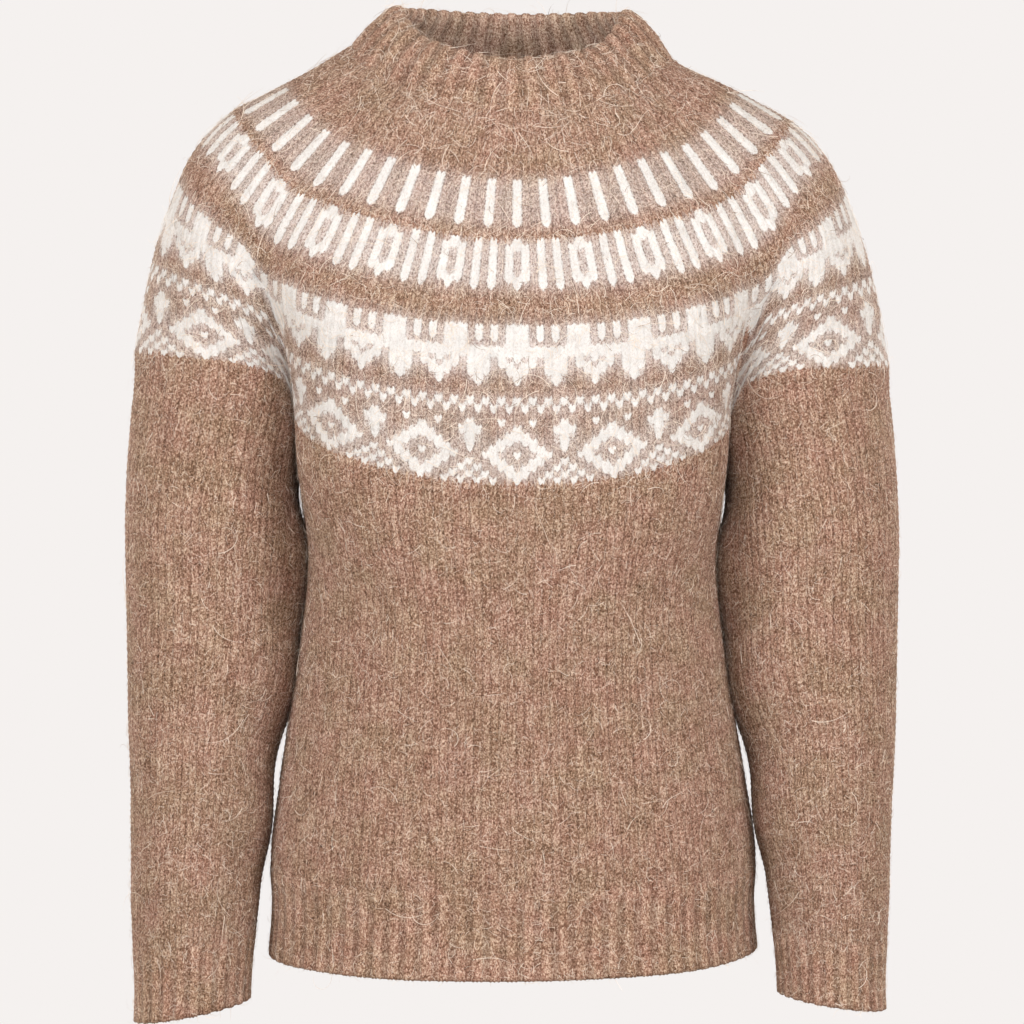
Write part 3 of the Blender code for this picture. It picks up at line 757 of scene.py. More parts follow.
def body_grid(stitch_shares, shares):
    """The body's rings at shares of the way from the yoke to the hem's ribs."""
    turns = 4 * stitch_shares
    top = round_ring(body_top_lines(), turns)
    last = round_ring(trunk_lines(1.0), turns)

    def rings_at(inside):
        made = []
        for share in inside:
            ring = round_ring(trunk_lines(share), turns)
            ring[:, 2] = top[:, 2] * (1 - share) + last[:, 2] * share
            own = eased(share / BODY_BLEND)
            ring[:, :2] = top[:, :2] * (1 - own) + ring[:, :2] * own
            made.append(ring)
        return np.array(made)

    return soft_folds(beyond(rings_at, shares), shares)


def hem_path(turns):
    """The hem band's closed section all round."""
    shares = np.linspace(1.0 - HEM_TUCK_SHARE, HEM_END_SHARE, HEM_RINGS)
    rings = np.array([round_ring(trunk_lines(share), turns) for share in shares])
    return band_section(soft_folds(rings, np.ones(len(rings))), RIB_WALL)


def band_section(rings, wall):
    """A band's closed section: down its outside, round its rim and up its inside."""
    normals = outward(rings)
    inner = rings - normals * wall
    middle = (rings[-1] + inner[-1]) / 2
    down = unit(rings[-1] - rings[-2])
    rim = []
    for angle in (30, 60, 90, 120, 150):
        out = math.cos(math.radians(angle)) * wall / 2
        low = math.sin(math.radians(angle)) * wall / 2
        rim.append(middle + normals[-1] * out + down * low)
    return np.concatenate([rings, rim, inner[::-1]])


def sleeve_top_line():
    """The right sleeve's upper edge as a closed polyline from the front fold over the arm."""
    under = underarm(UNDERARM_GAP / 2)
    return np.concatenate([arm_edge(0)[:-1], arm_edge(1)[::-1][:-1], under[::-1]])


def sleeve_turns():
    """The solids' own sleeve points: their shares of the upper edge, and their turns.

    The turns are about the sleeve's middle line, half as they fall and half evened out."""
    front, back = yoke_quarters(1.0)
    fore = spread(front[1], np.linspace(0, 1, ARM_STEPS + 1))
    rear = spread(back[1], np.linspace(0, 1, ARM_STEPS + 1))
    under = spread(underarm(UNDERARM_GAP / 2), np.linspace(0, 1, UNDERARM_STEPS + 1))
    ring = np.concatenate([fore, rear[::-1][1:], under[::-1][1:-1]])
    steps = steps_of(np.concatenate([ring, ring[:1]]))
    shares = np.concatenate([[0.0], np.cumsum(steps)]) / steps.sum()
    x, y, _ = place(ARM, 0.0)
    turns = np.arctan2(-(ring[:, 1] - y) / ARM[0].half_depth, (ring[:, 0] - x) / ARM[0].half_width)
    unwound = np.unwrap(turns)
    count = len(turns)
    direction = np.sign(unwound[-1] - unwound[0])
    even = unwound.mean() + direction * 2 * math.pi / count * (np.arange(count) - (count - 1) / 2)
    half = 0.5 * unwound + 0.5 * even
    return shares, np.concatenate([half, [half[0] + direction * 2 * math.pi]])


def sleeve_section(share, turns, ease):
    """A right sleeve's ring at a share, at turns of its ellipse from the outer side."""
    x, y, z = place(ARM, share)
    width = column(ARM, "half_width", share) * ease
    depth = column(ARM, "half_depth", share) * ease
    across = width * np.cos(turns)
    drop = column(ARM, "tilt", share) * across
    return np.stack([x + across, y - depth * np.sin(turns), z + drop], axis=1)


def ease_at(share, cuff_ease):
    """How much wider a sleeve is than its table, which grows toward its cuff."""
    return 1 + (cuff_ease - 1) * float(eased((share - EASE_FROM) / (1 - EASE_FROM)))


def sleeve_folds(rings, shares):
    """Moves a sleeve's rings in and out in shallow slanting folds about the elbow."""
    normals = outward(rings)
    across = rings[:, :, 0] - rings[:, :, 0].mean(axis=1, keepdims=True)
    inward = eased(-across / 0.05 + 0.5)
    slant = rings[:, :, 2] + SLEEVE_FOLD_SLANT * rings[:, :, 1]
    wave = np.sin(2 * math.pi * slant / SLEEVE_FOLD_PITCH)
    window = eased(shares / 0.2) * eased((1.0 - shares) / 0.25)
    return rings + normals * (SLEEVE_FOLD * wave * inward * window[:, None])[..., None]


def trunk_side(points):
    """How far out the body's side lies at the depth and height of each point."""
    curve = rounded(1.0, 1.0)
    start = FRONT_FOLD[-1].z
    shares = (start - points[:, 2]) / (start - HEM_TOP.side)
    y = points[:, 1]
    depth = np.where(y < 0, column(TRUNK, "front_y", shares), column(TRUNK, "back_y", shares))
    part = np.interp(y / depth, curve[::-1, 1], curve[::-1, 0], right=0.0)
    return part * column(TRUNK, "half_width", shares)


def beside_body(ring):
    """A sleeve's ring with what would reach the body moved out to lie along its side."""
    ring = ring.copy()
    ring[:, 0] = np.maximum(ring[:, 0], trunk_side(ring) + SIDE_CLEARANCE)
    return ring


def sleeve_grid(stitch_shares, shares, cuff_ease):
    """The right sleeve's rings at shares of the way from the yoke to its cuff."""
    at, known = sleeve_turns()
    turns = np.interp(stitch_shares, at, known)
    top = spread(sleeve_top_line(), stitch_shares)

    def rings_at(inside):
        made = []
        for share in inside:
            ring = sleeve_section(share, turns, ease_at(share, cuff_ease))
            own = float(eased(share / SLEEVE_BLEND))
            fall = column(ARM, "z", share) - column(ARM, "z", 0.0)
            edge = top + np.array([0.0, 0.0, fall])
            made.append(edge * (1 - own) + ring * own)
        return np.array(made)

    rings = sleeve_folds(beyond(rings_at, shares), np.clip(shares, 0.0, 1.0))
    clear = np.array([beside_body(ring) for ring in rings])
    part = eased(shares / 0.06)[:, None, None]
    return rings * (1 - part) + clear * part


def cuff_path(turns, cuff_ease):
    """The right cuff's closed section all round."""
    shares = np.linspace(1.0 - CUFF_TUCK_SHARE, CUFF_END_SHARE, CUFF_RINGS)
    rings = np.array([sleeve_section(share, turns, cuff_ease) for share in shares])
    return band_section(rings, RIB_WALL)


# A piece of knitting is gathered here, part by part, before its mesh is made.


class Knitting:
    """The points, faces and marks of one piece."""

    def __init__(self):
        self.points = []
        self.marks = {"cream": [], "haze": [], "depth": [], "tone": []}
        self.corners = []
        self.sizes = []
        self.maps = {"Stitch": [], "OFBake": []}
        self.count = 0

    def add_points(self, points, cream, depth, tone, haze=0.0):
        """Adds a grid of points and returns its numbers."""
        shape = points.shape[:-1]
        numbers = self.count + np.arange(int(np.prod(shape))).reshape(shape)
        self.points.append(points.reshape(-1, 3))
        given = {"cream": cream, "haze": haze, "depth": depth, "tone": tone}
        for name, values in given.items():
            self.marks[name].append(np.broadcast_to(values, shape).reshape(-1))
        self.count += numbers.size
        return numbers

    def add_faces(self, numbers, stitch_map, bake_map):
        """Adds faces of equal size: their corners, and both maps at each corner."""
        self.corners.append(numbers.reshape(-1))
        self.sizes.append(np.full(len(numbers), numbers.shape[1]))
        self.maps["Stitch"].append(stitch_map.reshape(-1, 2))
        self.maps["OFBake"].append(bake_map.reshape(-1, 2))

    def add_quads(self, numbers, across, down, box, closed_down=False):
        """Adds the faces of a grid that is closed all round, with both its maps."""
        rows = numbers.shape[0] if closed_down else numbers.shape[0] - 1
        columns = numbers.shape[1]
        i, j = np.meshgrid(np.arange(rows), np.arange(columns), indexing="ij")
        steps_down = np.array([0, 0, 1, 1])
        steps_round = np.array([0, 1, 1, 0])
        row = i.reshape(-1, 1) + steps_down
        col = j.reshape(-1, 1) + steps_round
        faces = numbers[row % numbers.shape[0], col % columns]
        across = np.append(across, 2 * across[-1] - across[-2])
        down = np.append(down, 2 * down[-1] - down[-2])
        stitch_map = np.stack([across[col], down[row]], axis=-1)
        strip = (j.reshape(-1, 1) * box.strips) // columns
        first = -(-strip * columns // box.strips)
        span = -(-columns // box.strips) + 2
        u = box.left + box.width * (col - first + 1) / span
        v = box.bottom + box.height * (strip + 0.02 + 0.96 * (1 - row / rows)) / box.strips
        self.add_faces(faces, stitch_map, np.stack([u, v], axis=-1))

    def make(self, name, material, lean=True):
        """Makes the piece's object."""
        points = np.concatenate(self.points)
        if lean:
            points = leaned(points)
        corners = np.concatenate(self.corners)
        sizes = np.concatenate(self.sizes)
        starts = np.concatenate([[0], np.cumsum(sizes)[:-1]])
        mesh = bpy.data.meshes.new(name)
        mesh.vertices.add(len(points))
        mesh.vertices.foreach_set("co", points.astype(np.float32).ravel())
        mesh.loops.add(len(corners))
        mesh.loops.foreach_set("vertex_index", corners.astype(np.int32))
        mesh.polygons.add(len(sizes))
        mesh.polygons.foreach_set("loop_start", starts.astype(np.int32))
        mesh.update(calc_edges=True)
        mesh.polygons.foreach_set("use_smooth", np.ones(len(sizes), bool))
        for map_name, places in self.maps.items():
            layer = mesh.uv_layers.new(name=map_name)
            layer.data.foreach_set("uv", np.concatenate(places).astype(np.float32).ravel())
        for mark, values in self.marks.items():
            attribute = mesh.attributes.new(mark, "FLOAT", "POINT")
            attribute.data.foreach_set("value", np.concatenate(values).astype(np.float32))
        mesh.materials.append(material)
        mesh.update()
        return add_object(name, mesh)


def add_object(name, data):
    """Adds an object to the scene."""
    item = bpy.data.objects.new(name, data)
    bpy.context.scene.collection.objects.link(item)
    return item


def looks_inward(grid):
    """Whether a grid's faces would look inward if its rounds were kept in their order."""
    around = grid[:, 1] - grid[:, 0]
    down = np.gradient(grid[:, 0], axis=0)
    facing = np.cross(around, down)
    centre = grid.mean(axis=1)
    return ((grid[:, 0] - centre) * facing).sum() < 0


def even_noise(generator, rows, columns, size):
    """A slowly changing noise over a grid that is closed all round, from -1 to 1."""
    coarse = generator.uniform(-1, 1, (max(rows // size, 2) + 2, max(columns // size, 2)))
    at_row = np.linspace(0, coarse.shape[0] - 1.001, rows)
    at_col = np.arange(columns) * coarse.shape[1] / columns
    i = at_row.astype(int)
    j = at_col.astype(int)
    s = eased(at_row - i)[:, None]
    t = eased(at_col - j)[None, :]
    k = (j + 1) % coarse.shape[1]
    top = coarse[i][:, j] * (1 - t) + coarse[i][:, k] * t
    low = coarse[i + 1][:, j] * (1 - t) + coarse[i + 1][:, k] * t
    return top * (1 - s) + low * s


def stocking_stitch(knitting, grid_of, first, last, stitches, relief, seed, box, chart=None):
    """Adds a tube of stocking stitch: its stitches outside and its plainer inside.

    grid_of gives the form at given rows. One more row at each end is tucked under the next
    piece. Returns the outside's points and normals, for the fuzz."""
    generator = np.random.default_rng(seed)
    around = 4 * stitches
    levels = np.arange(4 * (first - 1), 4 * (last + 1) + 3) / 4
    grid = grid_of(np.arange(around) / around, levels)
    normals = outward(grid)
    rows = (len(levels) - 3) // 2 + 1
    shift = np.array(LEG_SHIFTS)[np.arange(around) % 4]
    pick = 2 * np.arange(rows)[:, None] + shift[None, :]
    every = np.arange(around)[None, :]
    points = grid[pick, every]
    facing = normals[pick, every]
    height = np.array(LEG_HEIGHTS)[np.arange(around) % 4][None, :]
    half_row = np.arange(rows) % 2
    height = height + np.array(ROW_HEIGHTS)[half_row][:, None]
    stitch_noise = generator.uniform(-1, 1, (rows // 2 + 2, stitches))
    tone = stitch_noise[np.arange(rows) // 2][:, ((np.arange(around) + 2) // 4) % stitches]
    slack = even_noise(generator, rows, around, STITCH_SLACK_SPAN)
    raised = relief * (height + STITCH_SLACK * slack + STITCH_UNEVEN * tone)
    level = levels[0] + np.arange(rows) / 2
    past = np.maximum(np.maximum(first - level, level - last), 0.0)
    raised = raised - (TUCK * eased(past))[:, None]
    points = points + facing * raised[..., None]
    cream = np.zeros((rows, around))
    if chart is not None:
        cream = chart_marks(chart_between(chart, first, last), rows, stitches)
    depth = eased((height - height.min()) / (height.max() - height.min()))
    numbers = knitting.add_points(points, cream, depth, tone, hazed(cream))
    across = np.arange(around) / 4
    flip = looks_inward(grid)
    way = -1 if flip else 1
    upper = box._replace(height=OUTSIDE_HEIGHT * box.height)
    knitting.add_quads(numbers[:, ::way], across[::way], level, upper)
    chosen = np.arange(0, len(levels), INSIDE_STEP)
    if chosen[-1] < len(levels) - 1:
        chosen = np.append(chosen, len(levels) - 1)
    inner_grid = (grid - normals * WALL)[chosen, ::INSIDE_STEP]
    inner_levels = levels[chosen]
    inner_cream = 0.0
    if chart is not None:
        inner_cream = chart_inside(chart, inner_levels)[:, None]
    inner = knitting.add_points(inner_grid, inner_cream, 0.5, 0.0)
    lower = box._replace(
        bottom=box.bottom + INSIDE_LEVEL * box.height, height=INSIDE_HEIGHT * box.height
    )
    inner_across = across[::INSIDE_STEP]
    knitting.add_quads(inner[:, ::-way], inner_across[::-way], inner_levels, lower)
    close_edge(knitting, numbers[0], inner[0], flip, box)
    close_edge(knitting, numbers[-1], inner[-1], not flip, box)
    return points, facing


def close_edge(knitting, outer, inner, flip, box):
    """Joins the fine outer edge of a wall to its coarser inner edge."""
    k = np.arange(len(inner))[:, None]
    per = len(outer) // len(inner)
    rim = outer[(k * per + np.arange(per + 1)) % len(outer)]
    faces = np.concatenate([rim, inner[(k + 1) % len(inner)], inner[k]], axis=1)
    if flip:
        faces = faces[:, ::-1]
    u = box.left + box.width * (0.01 + 0.98 * np.linspace(0, 1, per + 3))
    v = box.bottom + box.height * np.full(per + 3, EDGE_LEVEL)
    v[-2:] += 0.008 * box.height
    places = np.broadcast_to(np.stack([u, v], axis=-1), (*faces.shape, 2))
    knitting.add_faces(faces, places, places)


def hazed(cream):
    """How near each point is to cream wool, whose loose fibres lie over the brown beside it."""
    for _ in range(HAZE_PASSES):
        across = (np.roll(cream, 2, axis=1) + cream + np.roll(cream, -2, axis=1)) / 3
        padded = np.pad(across, ((1, 1), (0, 0)), mode="edge")
        cream = (padded[:-2] + padded[1:-1] + padded[2:]) / 3
    return cream


def chart_between(chart, first, last):
    """The chart's rounds from first up to last, with a plain one before and two after."""
    return [*PLAIN, *chart[first:last], *PLAIN, *PLAIN]


def chart_marks(rounds, rows, stitches):
    """How much of each point of the outside is cream, from the rounds it shows."""
    value = {".": 0.0, "+": HALF_TONE, "o": 1.0}
    stitch = (np.arange(4 * stitches) + 2) // 4 % stitches
    faces = []
    for i in range(rows - 1):
        line = rounds[i // 2]
        marks = np.array([value[letter] for letter in line])
        faces.append(marks[(stitch + MIDDLES[len(line)]) % len(line)])
    above = np.array([faces[0], *faces])
    below = np.array([*faces, faces[-1]])
    left = np.roll(above, 1, axis=1) + np.roll(below, 1, axis=1)
    return (above + below + left) / 4


def chart_inside(chart, levels):
    """How much cream shows inside at each level: the loose strands of the other wool."""
    shares = []
    for level in levels:
        line = chart[min(max(int(level), 0), len(chart) - 1)]
        shares.append((line.count("o") + 0.5 * line.count("+")) / len(line))
    return np.array(shares)


def ribbing(knitting, path_of, ribs, rise, seed, box, turns_round, within):
    """Adds a band of one-by-one rib over a closed section. Returns points and normals.

    within is the rib as it shows inside."""
    generator = np.random.default_rng(seed)
    places = (np.arange(ribs)[:, None] + np.array(RIB_PLACES)[None, :]).ravel() / ribs
    path = path_of(places * turns_round)
    closed = np.concatenate([path, path[:1]])
    along = np.concatenate([np.zeros((1, path.shape[1])), np.cumsum(steps_of(closed), axis=0)])
    rows = int(round(along[-1].mean() / ROW_HEIGHT))
    quarters = 4 * rows
    shares = np.arange(quarters) / quarters
    grid = np.empty((quarters, path.shape[1], 3))
    for j in range(path.shape[1]):
        for k in range(3):
            grid[:, j, k] = np.interp(shares * along[-1, j], along[:, j], closed[:, j, k])
    around = np.roll(grid, -1, axis=1) - np.roll(grid, 1, axis=1)
    down = np.roll(grid, -1, axis=0) - np.roll(grid, 1, axis=0)
    normals = unit(np.cross(around, down))
    middle = grid.mean(axis=0, keepdims=True)
    if ((grid - middle) * normals).sum() < 0:
        normals = -normals
    axis_point = grid.mean(axis=(0, 1))
    outside = ((grid - axis_point) * normals)[..., :2].sum(axis=2) > 0
    count = 2 * rows
    kind = np.arange(path.shape[1]) % len(RIB_PLACES)
    shift = np.array(RIB_SHIFTS)[kind]
    pick = (2 * np.arange(count)[:, None] + shift[None, :]) % quarters
    every = np.arange(path.shape[1])[None, :]
    out = outside[pick, every]
    heights = np.array(RIB_HEIGHTS)[kind]
    ribbed = np.where(out, heights, np.array(within)[kind])
    half_row = (1 - np.arange(count) % 2)[:, None]
    bumps = np.where(heights > 0, KNIT_BUMP, PURL_BUMP)[None, :]
    stitch_noise = generator.uniform(-1, 1, (rows, 2 * ribs))
    tone = stitch_noise[np.arange(count) // 2][:, (np.arange(path.shape[1]) + 2) // 4 % (2 * ribs)]
    slack = even_noise(generator, count, path.shape[1], RIB_SLACK_SPAN)
    uneven = RIB_SLACK * slack + RIB_UNEVEN * tone
    raised = rise * (ribbed + bumps * (2 * half_row - 1) + uneven)
    # Painted light: the stitches inside the band are made lighter through their tone
    tone = np.where(out, tone, tone + INSIDE_PAINTED_LIGHT)
    facing = normals[pick, every]
    points = grid[pick, every] + facing * raised[..., None]
    depth = eased((ribbed + 0.35) / 1.35)
    numbers = knitting.add_points(points, 0.0, depth, tone)
    across = places * ribs * 2
    down_at = np.arange(count) / 2
    cross = np.cross(points[0, 1] - points[0, 0], points[1, 0] - points[0, 0])
    way = -1 if (cross * facing[0, 0]).sum() < 0 else 1
    knitting.add_quads(numbers[:, ::way], across[::way], down_at, box, closed_down=True)
    shown = np.arange(count) < count * BAND_OUTSIDE
    return points[shown], facing[shown]


def linear(code):
    """A sRGB hex colour as a linear RGBA tuple."""
    values = [int(code[k : k + 2], 16) / 255 for k in (1, 3, 5)]
    return (*[v / 12.92 if v <= 0.04045 else ((v + 0.055) / 1.055) ** 2.4 for v in values], 1.0)


def add_node(tree, kind, inputs=None, **settings):
    """Adds a node with its settings. An input is a value, or a node and its output's name."""
    node = tree.nodes.new(kind)
    for name, value in settings.items():
        setattr(node, name, value)
    for name, value in (inputs or {}).items():
        if isinstance(value, tuple) and isinstance(value[0], bpy.types.Node):
            tree.links.new(value[0].outputs[value[1]], node.inputs[name])
        else:
            node.inputs[name].default_value = value
    return node


def noise(tree, vector, scale, detail, **inputs):
    """A noise texture over a vector."""
    inputs.update(Vector=vector, Scale=scale, Detail=detail)
    return add_node(tree, "ShaderNodeTexNoise", inputs), "Fac"


def stretched(tree, vector, scale, turn=0.0):
    """A vector scaled by axis and turned by an angle."""
    inputs = {"Vector": vector, "Scale": scale, "Rotation": (0.0, 0.0, turn)}
    return add_node(tree, "ShaderNodeMapping", inputs), "Vector"


def maths(tree, operation, *values):
    """One sum over values."""
    return add_node(tree, "ShaderNodeMath", dict(enumerate(values)), operation=operation), 0


def ranged(tree, value, old=(0.0, 1.0), new=(0.0, 1.0), kind="LINEAR"):
    """A value whose old range becomes a new one."""
    names = ("Value", "From Min", "From Max", "To Min", "To Max")
    inputs = dict(zip(names, (value, *old, *new)))
    return add_node(tree, "ShaderNodeMapRange", inputs, interpolation_type=kind), "Result"


def blended(tree, share, first, second, blend="MIX"):
    """A share of a second colour over a first one."""
    inputs = {0: share, 6: first, 7: second}
    return add_node(tree, "ShaderNodeMix", inputs, data_type="RGBA", blend_type=blend), 2


def ramp(tree, value, *stops):
    """A value turned into colour through stops, each a place and its colour."""
    node = add_node(tree, "ShaderNodeValToRGB", {"Fac": value})
    elements = node.color_ramp.elements
    for number, (at, colour) in enumerate(stops):
        stop = elements[number] if number < len(elements) else elements.new(at)
        stop.position = at
        stop.color = colour
    return node, "Color"


def new_material(name):
    """A material with an empty node tree."""
    material = bpy.data.materials.new(name)
    material.use_nodes = True
    material.node_tree.nodes.clear()
    return material


# Fibre sizes in the wools, as texture scales: one over the size in metres
FLECK_SCALE = 1 / 0.0012
STRAND_SCALE = 1 / 0.0009
BLOTCH_SCALE = 1 / 0.028
CLOUD_SCALE = 1 / 0.011
HAIR_SCALE = 1 / 0.012
WOOL_IOR = 1.54


def heather_wool(name, colours, sheen, painted_gap_darkness):
    """Loosely spun heather wool, knitted by hand and brushed.

    Its fibres are of several browns, so the eye sees flecks inside every stitch, streaks down
    the columns of stitches, soft clouds of pink and olive over a hand's breadth and a pale bloom
    at the edges. Painted shade darkens the gaps between the legs of the stitches, and their
    crests are painted a little lighter, much less so in the cream. The cream wool takes over
    where the chart marks it, and its loose fibres haze the brown beside it."""
    material = new_material(name)
    tree = material.node_tree
    where = add_node(tree, "ShaderNodeTexCoord"), "Object"
    stitch = add_node(tree, "ShaderNodeUVMap", uv_map="Stitch"), "UV"
    cream, depth, tone, haze = (
        (add_node(tree, "ShaderNodeAttribute", attribute_name=mark), "Fac")
        for mark in ("cream", "depth", "tone", "haze")
    )
    flecks = noise(tree, where, FLECK_SCALE, 3.0, Roughness=0.62, Distortion=0.9)
    clouds = noise(tree, where, CLOUD_SCALE, 2.0)
    blotches = noise(tree, where, BLOTCH_SCALE, 3.0, Roughness=0.6)
    pulled = stretched(tree, stitch, (5.0, 1.6, 1.0), 0.35)
    strands = noise(tree, pulled, 1.4, 4.0, Roughness=0.65, Distortion=0.6)
    drawn = stretched(tree, stitch, (2.1, 0.14, 1.0))
    streaks = noise(tree, drawn, 1.0, 2.0, Roughness=0.6)
    both = maths(tree, "ADD", flecks, strands)
    streaked = maths(tree, "MULTIPLY_ADD", streaks, 0.26, both)
    # tone holds each stitch's own random tone and, inside the rib bands, painted light
    shade = maths(tree, "MULTIPLY_ADD", tone, 0.035, streaked)
    level = ranged(tree, shade, (0.92, 1.34))

    browns = ((0.0, colours.dark), (1.0, colours.pale), (0.46, colours.taupe))
    brown = ramp(tree, level, *browns)
    blush = ranged(tree, blotches, (0.36, 0.64))
    tint = blended(tree, blush, colours.olive, colours.pink)
    tinted = blended(tree, 0.42, brown, tint, "SOFT_LIGHT")
    loose = ranged(tree, both, (0.85, 1.12), (0.48, 1.90))
    bloom = maths(tree, "MULTIPLY", haze, loose)
    misted = blended(tree, bloom, tinted, colours.bloom)

    milk = ramp(tree, level, (0.0, colours.cream_shade), (0.55, colours.cream))
    edge_noise = maths(tree, "MULTIPLY_ADD", both, 0.60, cream)
    edge = ranged(tree, edge_noise, (0.90, 1.28), kind="SMOOTHSTEP")
    wool = blended(tree, edge, misted, milk)

    # Painted shade: the gaps between the stitches' legs are darkened and their crests lightened a
    # little, much less on cream
    painted_gap_shade = ranged(tree, depth, new=(painted_gap_darkness, 1.06))
    cloud_light = ranged(tree, clouds, (0.3, 0.7), (0.93, 1.07))
    weaker = ranged(tree, edge, new=(1.0, 0.25))
    own_painted_gap_shade = add_node(tree, "ShaderNodeMix", {0: weaker, 2: 1.0, 3: painted_gap_shade}, data_type="FLOAT")
    light = maths(tree, "MULTIPLY", (own_painted_gap_shade, 0), cloud_light)
    lit = {0: wool, "Scale": light}
    shaded = add_node(tree, "ShaderNodeVectorMath", lit, operation="SCALE")

    fibre = noise(tree, where, STRAND_SCALE, 2.0, Distortion=1.5)
    relief = maths(tree, "MULTIPLY_ADD", fibre, 0.5, both)
    raised = {"Height": relief, "Strength": 0.75, "Distance": 0.0009}
    bump = add_node(tree, "ShaderNodeBump", raised)
    shader = add_node(
        tree,
        "ShaderNodeBsdfPrincipled",
        {
            "Base Color": (shaded, "Vector"),
            "Roughness": ranged(tree, flecks, new=(0.82, 1.0)),
            "IOR": WOOL_IOR,
            "Specular IOR Level": 0.25,
            "Sheen Weight": sheen,
            "Sheen Roughness": 0.45,
            "Sheen Tint": linear("#f6e8dc"),
            "Normal": (bump, "Normal"),
        },
    )
    add_node(tree, "ShaderNodeOutputMaterial", {"Surface": (shader, "BSDF")})
    return material


def loose_fibre(name, root, tip):
    """Single guard hairs of the wool: pale, a little shiny, and darker near some roots."""
    material = new_material(name)
    tree = material.node_tree
    where = add_node(tree, "ShaderNodeTexCoord"), "Object"
    shader = add_node(
        tree,
        "ShaderNodeBsdfPrincipled",
        {
            "Base Color": blended(tree, noise(tree, where, HAIR_SCALE, 1.0), root, tip),
            "Roughness": 0.6,
            "IOR": WOOL_IOR,
            "Sheen Weight": 0.3,
            "Sheen Roughness": 0.4,
        },
    )
    add_node(tree, "ShaderNodeOutputMaterial", {"Surface": (shader, "BSDF")})
    return material


def sweep_fuzz(name, roots, facing, kind, seed, wools):
    """Makes one piece of fibres that stand on given points, each a thin tapering strip."""
    generator = np.random.default_rng(seed)
    roots = leaned(roots)
    chosen = generator.choice(len(roots), kind.count, replace=len(roots) < kind.count)
    start = roots[chosen]
    normal = facing[chosen]
    helper = np.where(np.abs(normal[:, 2:3]) > 0.9, [[1.0, 0.0, 0.0]], [[0.0, 0.0, 1.0]])
    first = unit(np.cross(normal, helper))
    second = np.cross(normal, first)
    count = kind.count
    length = generator.uniform(kind.length_low, kind.length_high, count)
    heading = generator.uniform(0, 2 * math.pi, count)
    bend = generator.normal(0, kind.curl, count)
    twist = generator.normal(0, 0.6 * kind.curl, count)
    lift = kind.lift * generator.uniform(0.3, 1.0, count)
    step = length / kind.steps
    start = start + normal * FIBRE_ROOT
    line = [start]
    at = start
    for k in range(kind.steps):
        share = (k + 0.5) / kind.steps
        angle = heading + bend * share + twist * share * share
        rise = lift * np.cos(math.pi * 0.75 * share)
        level = np.sqrt(np.maximum(1 - rise**2, 0.05))
        way = first * (np.cos(angle) * level)[:, None] + second * (np.sin(angle) * level)[:, None]
        at = at + (way + normal * rise[:, None]) * step[:, None]
        line.append(at)
    line = np.array(line)
    ways = np.gradient(line, axis=0)
    tumble = FIBRE_TUMBLE * generator.normal(0, 1, (1, count, 3))
    side = unit(np.cross(ways, normal[None] + tumble))
    taper = np.linspace(1.0, FIBRE_TIP, kind.steps + 1)[:, None, None]
    side = side * kind.width / 2 * taper
    points = np.stack([line - side, line + side], axis=2).transpose(1, 0, 2, 3)
    knitting = Knitting()
    numbers = knitting.add_points(points, 1.0, 1.0, 0.0)
    faces = np.stack(
        [numbers[:, :-1, 0], numbers[:, :-1, 1], numbers[:, 1:, 1], numbers[:, 1:, 0]], axis=-1
    ).reshape(-1, 4)
    cells = int(math.ceil(math.sqrt(count)))
    cell = np.arange(count)[:, None, None]
    ends = np.arange(kind.steps)[:, None] + np.array([0, 0, 1, 1])
    u = (cell % cells) / cells + np.array([0.1, 0.9, 0.9, 0.1]) / cells
    v = (cell // cells) / cells + (0.1 + 0.8 * ends / kind.steps) / cells
    places = np.stack(np.broadcast_arrays(u, v), axis=-1).reshape(-1, 4, 2)
    knitting.add_faces(faces, places, places)
    item = knitting.make(name, wools[0], lean=False)
    for wool in wools[1:]:
        item.data.materials.append(wool)
    turns = np.repeat((np.arange(count) % 6 == 5) * (len(wools) - 1), kind.steps)
    item.data.polygons.foreach_set("material_index", turns.astype(np.int32))
    return item


def length(name, description, default):
    """A length that a user would change."""
    return bpy.props.FloatProperty(
        name=name, description=description, default=default, unit="LENGTH"
    )


def colour(name, description, code):
    """A colour that a user would change."""
    return bpy.props.FloatVectorProperty(
        name=name, description=description, default=linear(code), size=4, subtype="COLOR"
    )


class PulloverSizes(bpy.types.PropertyGroup):
    """Sizes of the knitting that a user would change."""

    stitch_relief: length(
        "Stitch relief", "How far the legs of a stitch stand off the cloth's middle", 0.00055
    )
    neck_rib: length(
        "Neck rib", "How far the neckband's knit ribs stand over its purl ones", 0.0010
    )
    hem_rib: length("Hem rib", "How far the hem's knit ribs stand over its purl ones", 0.0007)
    cuff_rib: length("Cuff rib", "How far the cuffs' knit ribs stand over their purl ones", 0.0007)
    fuzz_amount: bpy.props.FloatProperty(
        name="Fuzz",
        description="How much fuzz stands off the wool",
        default=1.0,
        min=0.0,
        max=1.5,
        subtype="FACTOR",
    )


class PulloverColours(bpy.types.PropertyGroup):
    """The wools' colours."""

    taupe: colour("Taupe", "The middle tone of the brown heather wool", "#9e7e6d")
    dark: colour("Dark fibre", "The darkest fibres of the brown wool", "#5c4436")
    pale: colour("Pale fibre", "The palest fibres of the brown wool", "#dfcec0")
    olive: colour("Olive cast", "The greener clouds of the brown wool", "#8a8058")
    pink: colour("Pink cast", "The redder clouds of the brown wool", "#b0807c")
    bloom: colour(
        "Bloom", "Loose cream fibres seen over the brown wool beside the pattern", "#ddd5d4"
    )
    cream: colour("Cream", "The undyed wool of the yoke's pattern", "#ebebec")
    cream_shade: colour("Cream shade", "The undyed wool's darker fibres", "#d6d1d0")


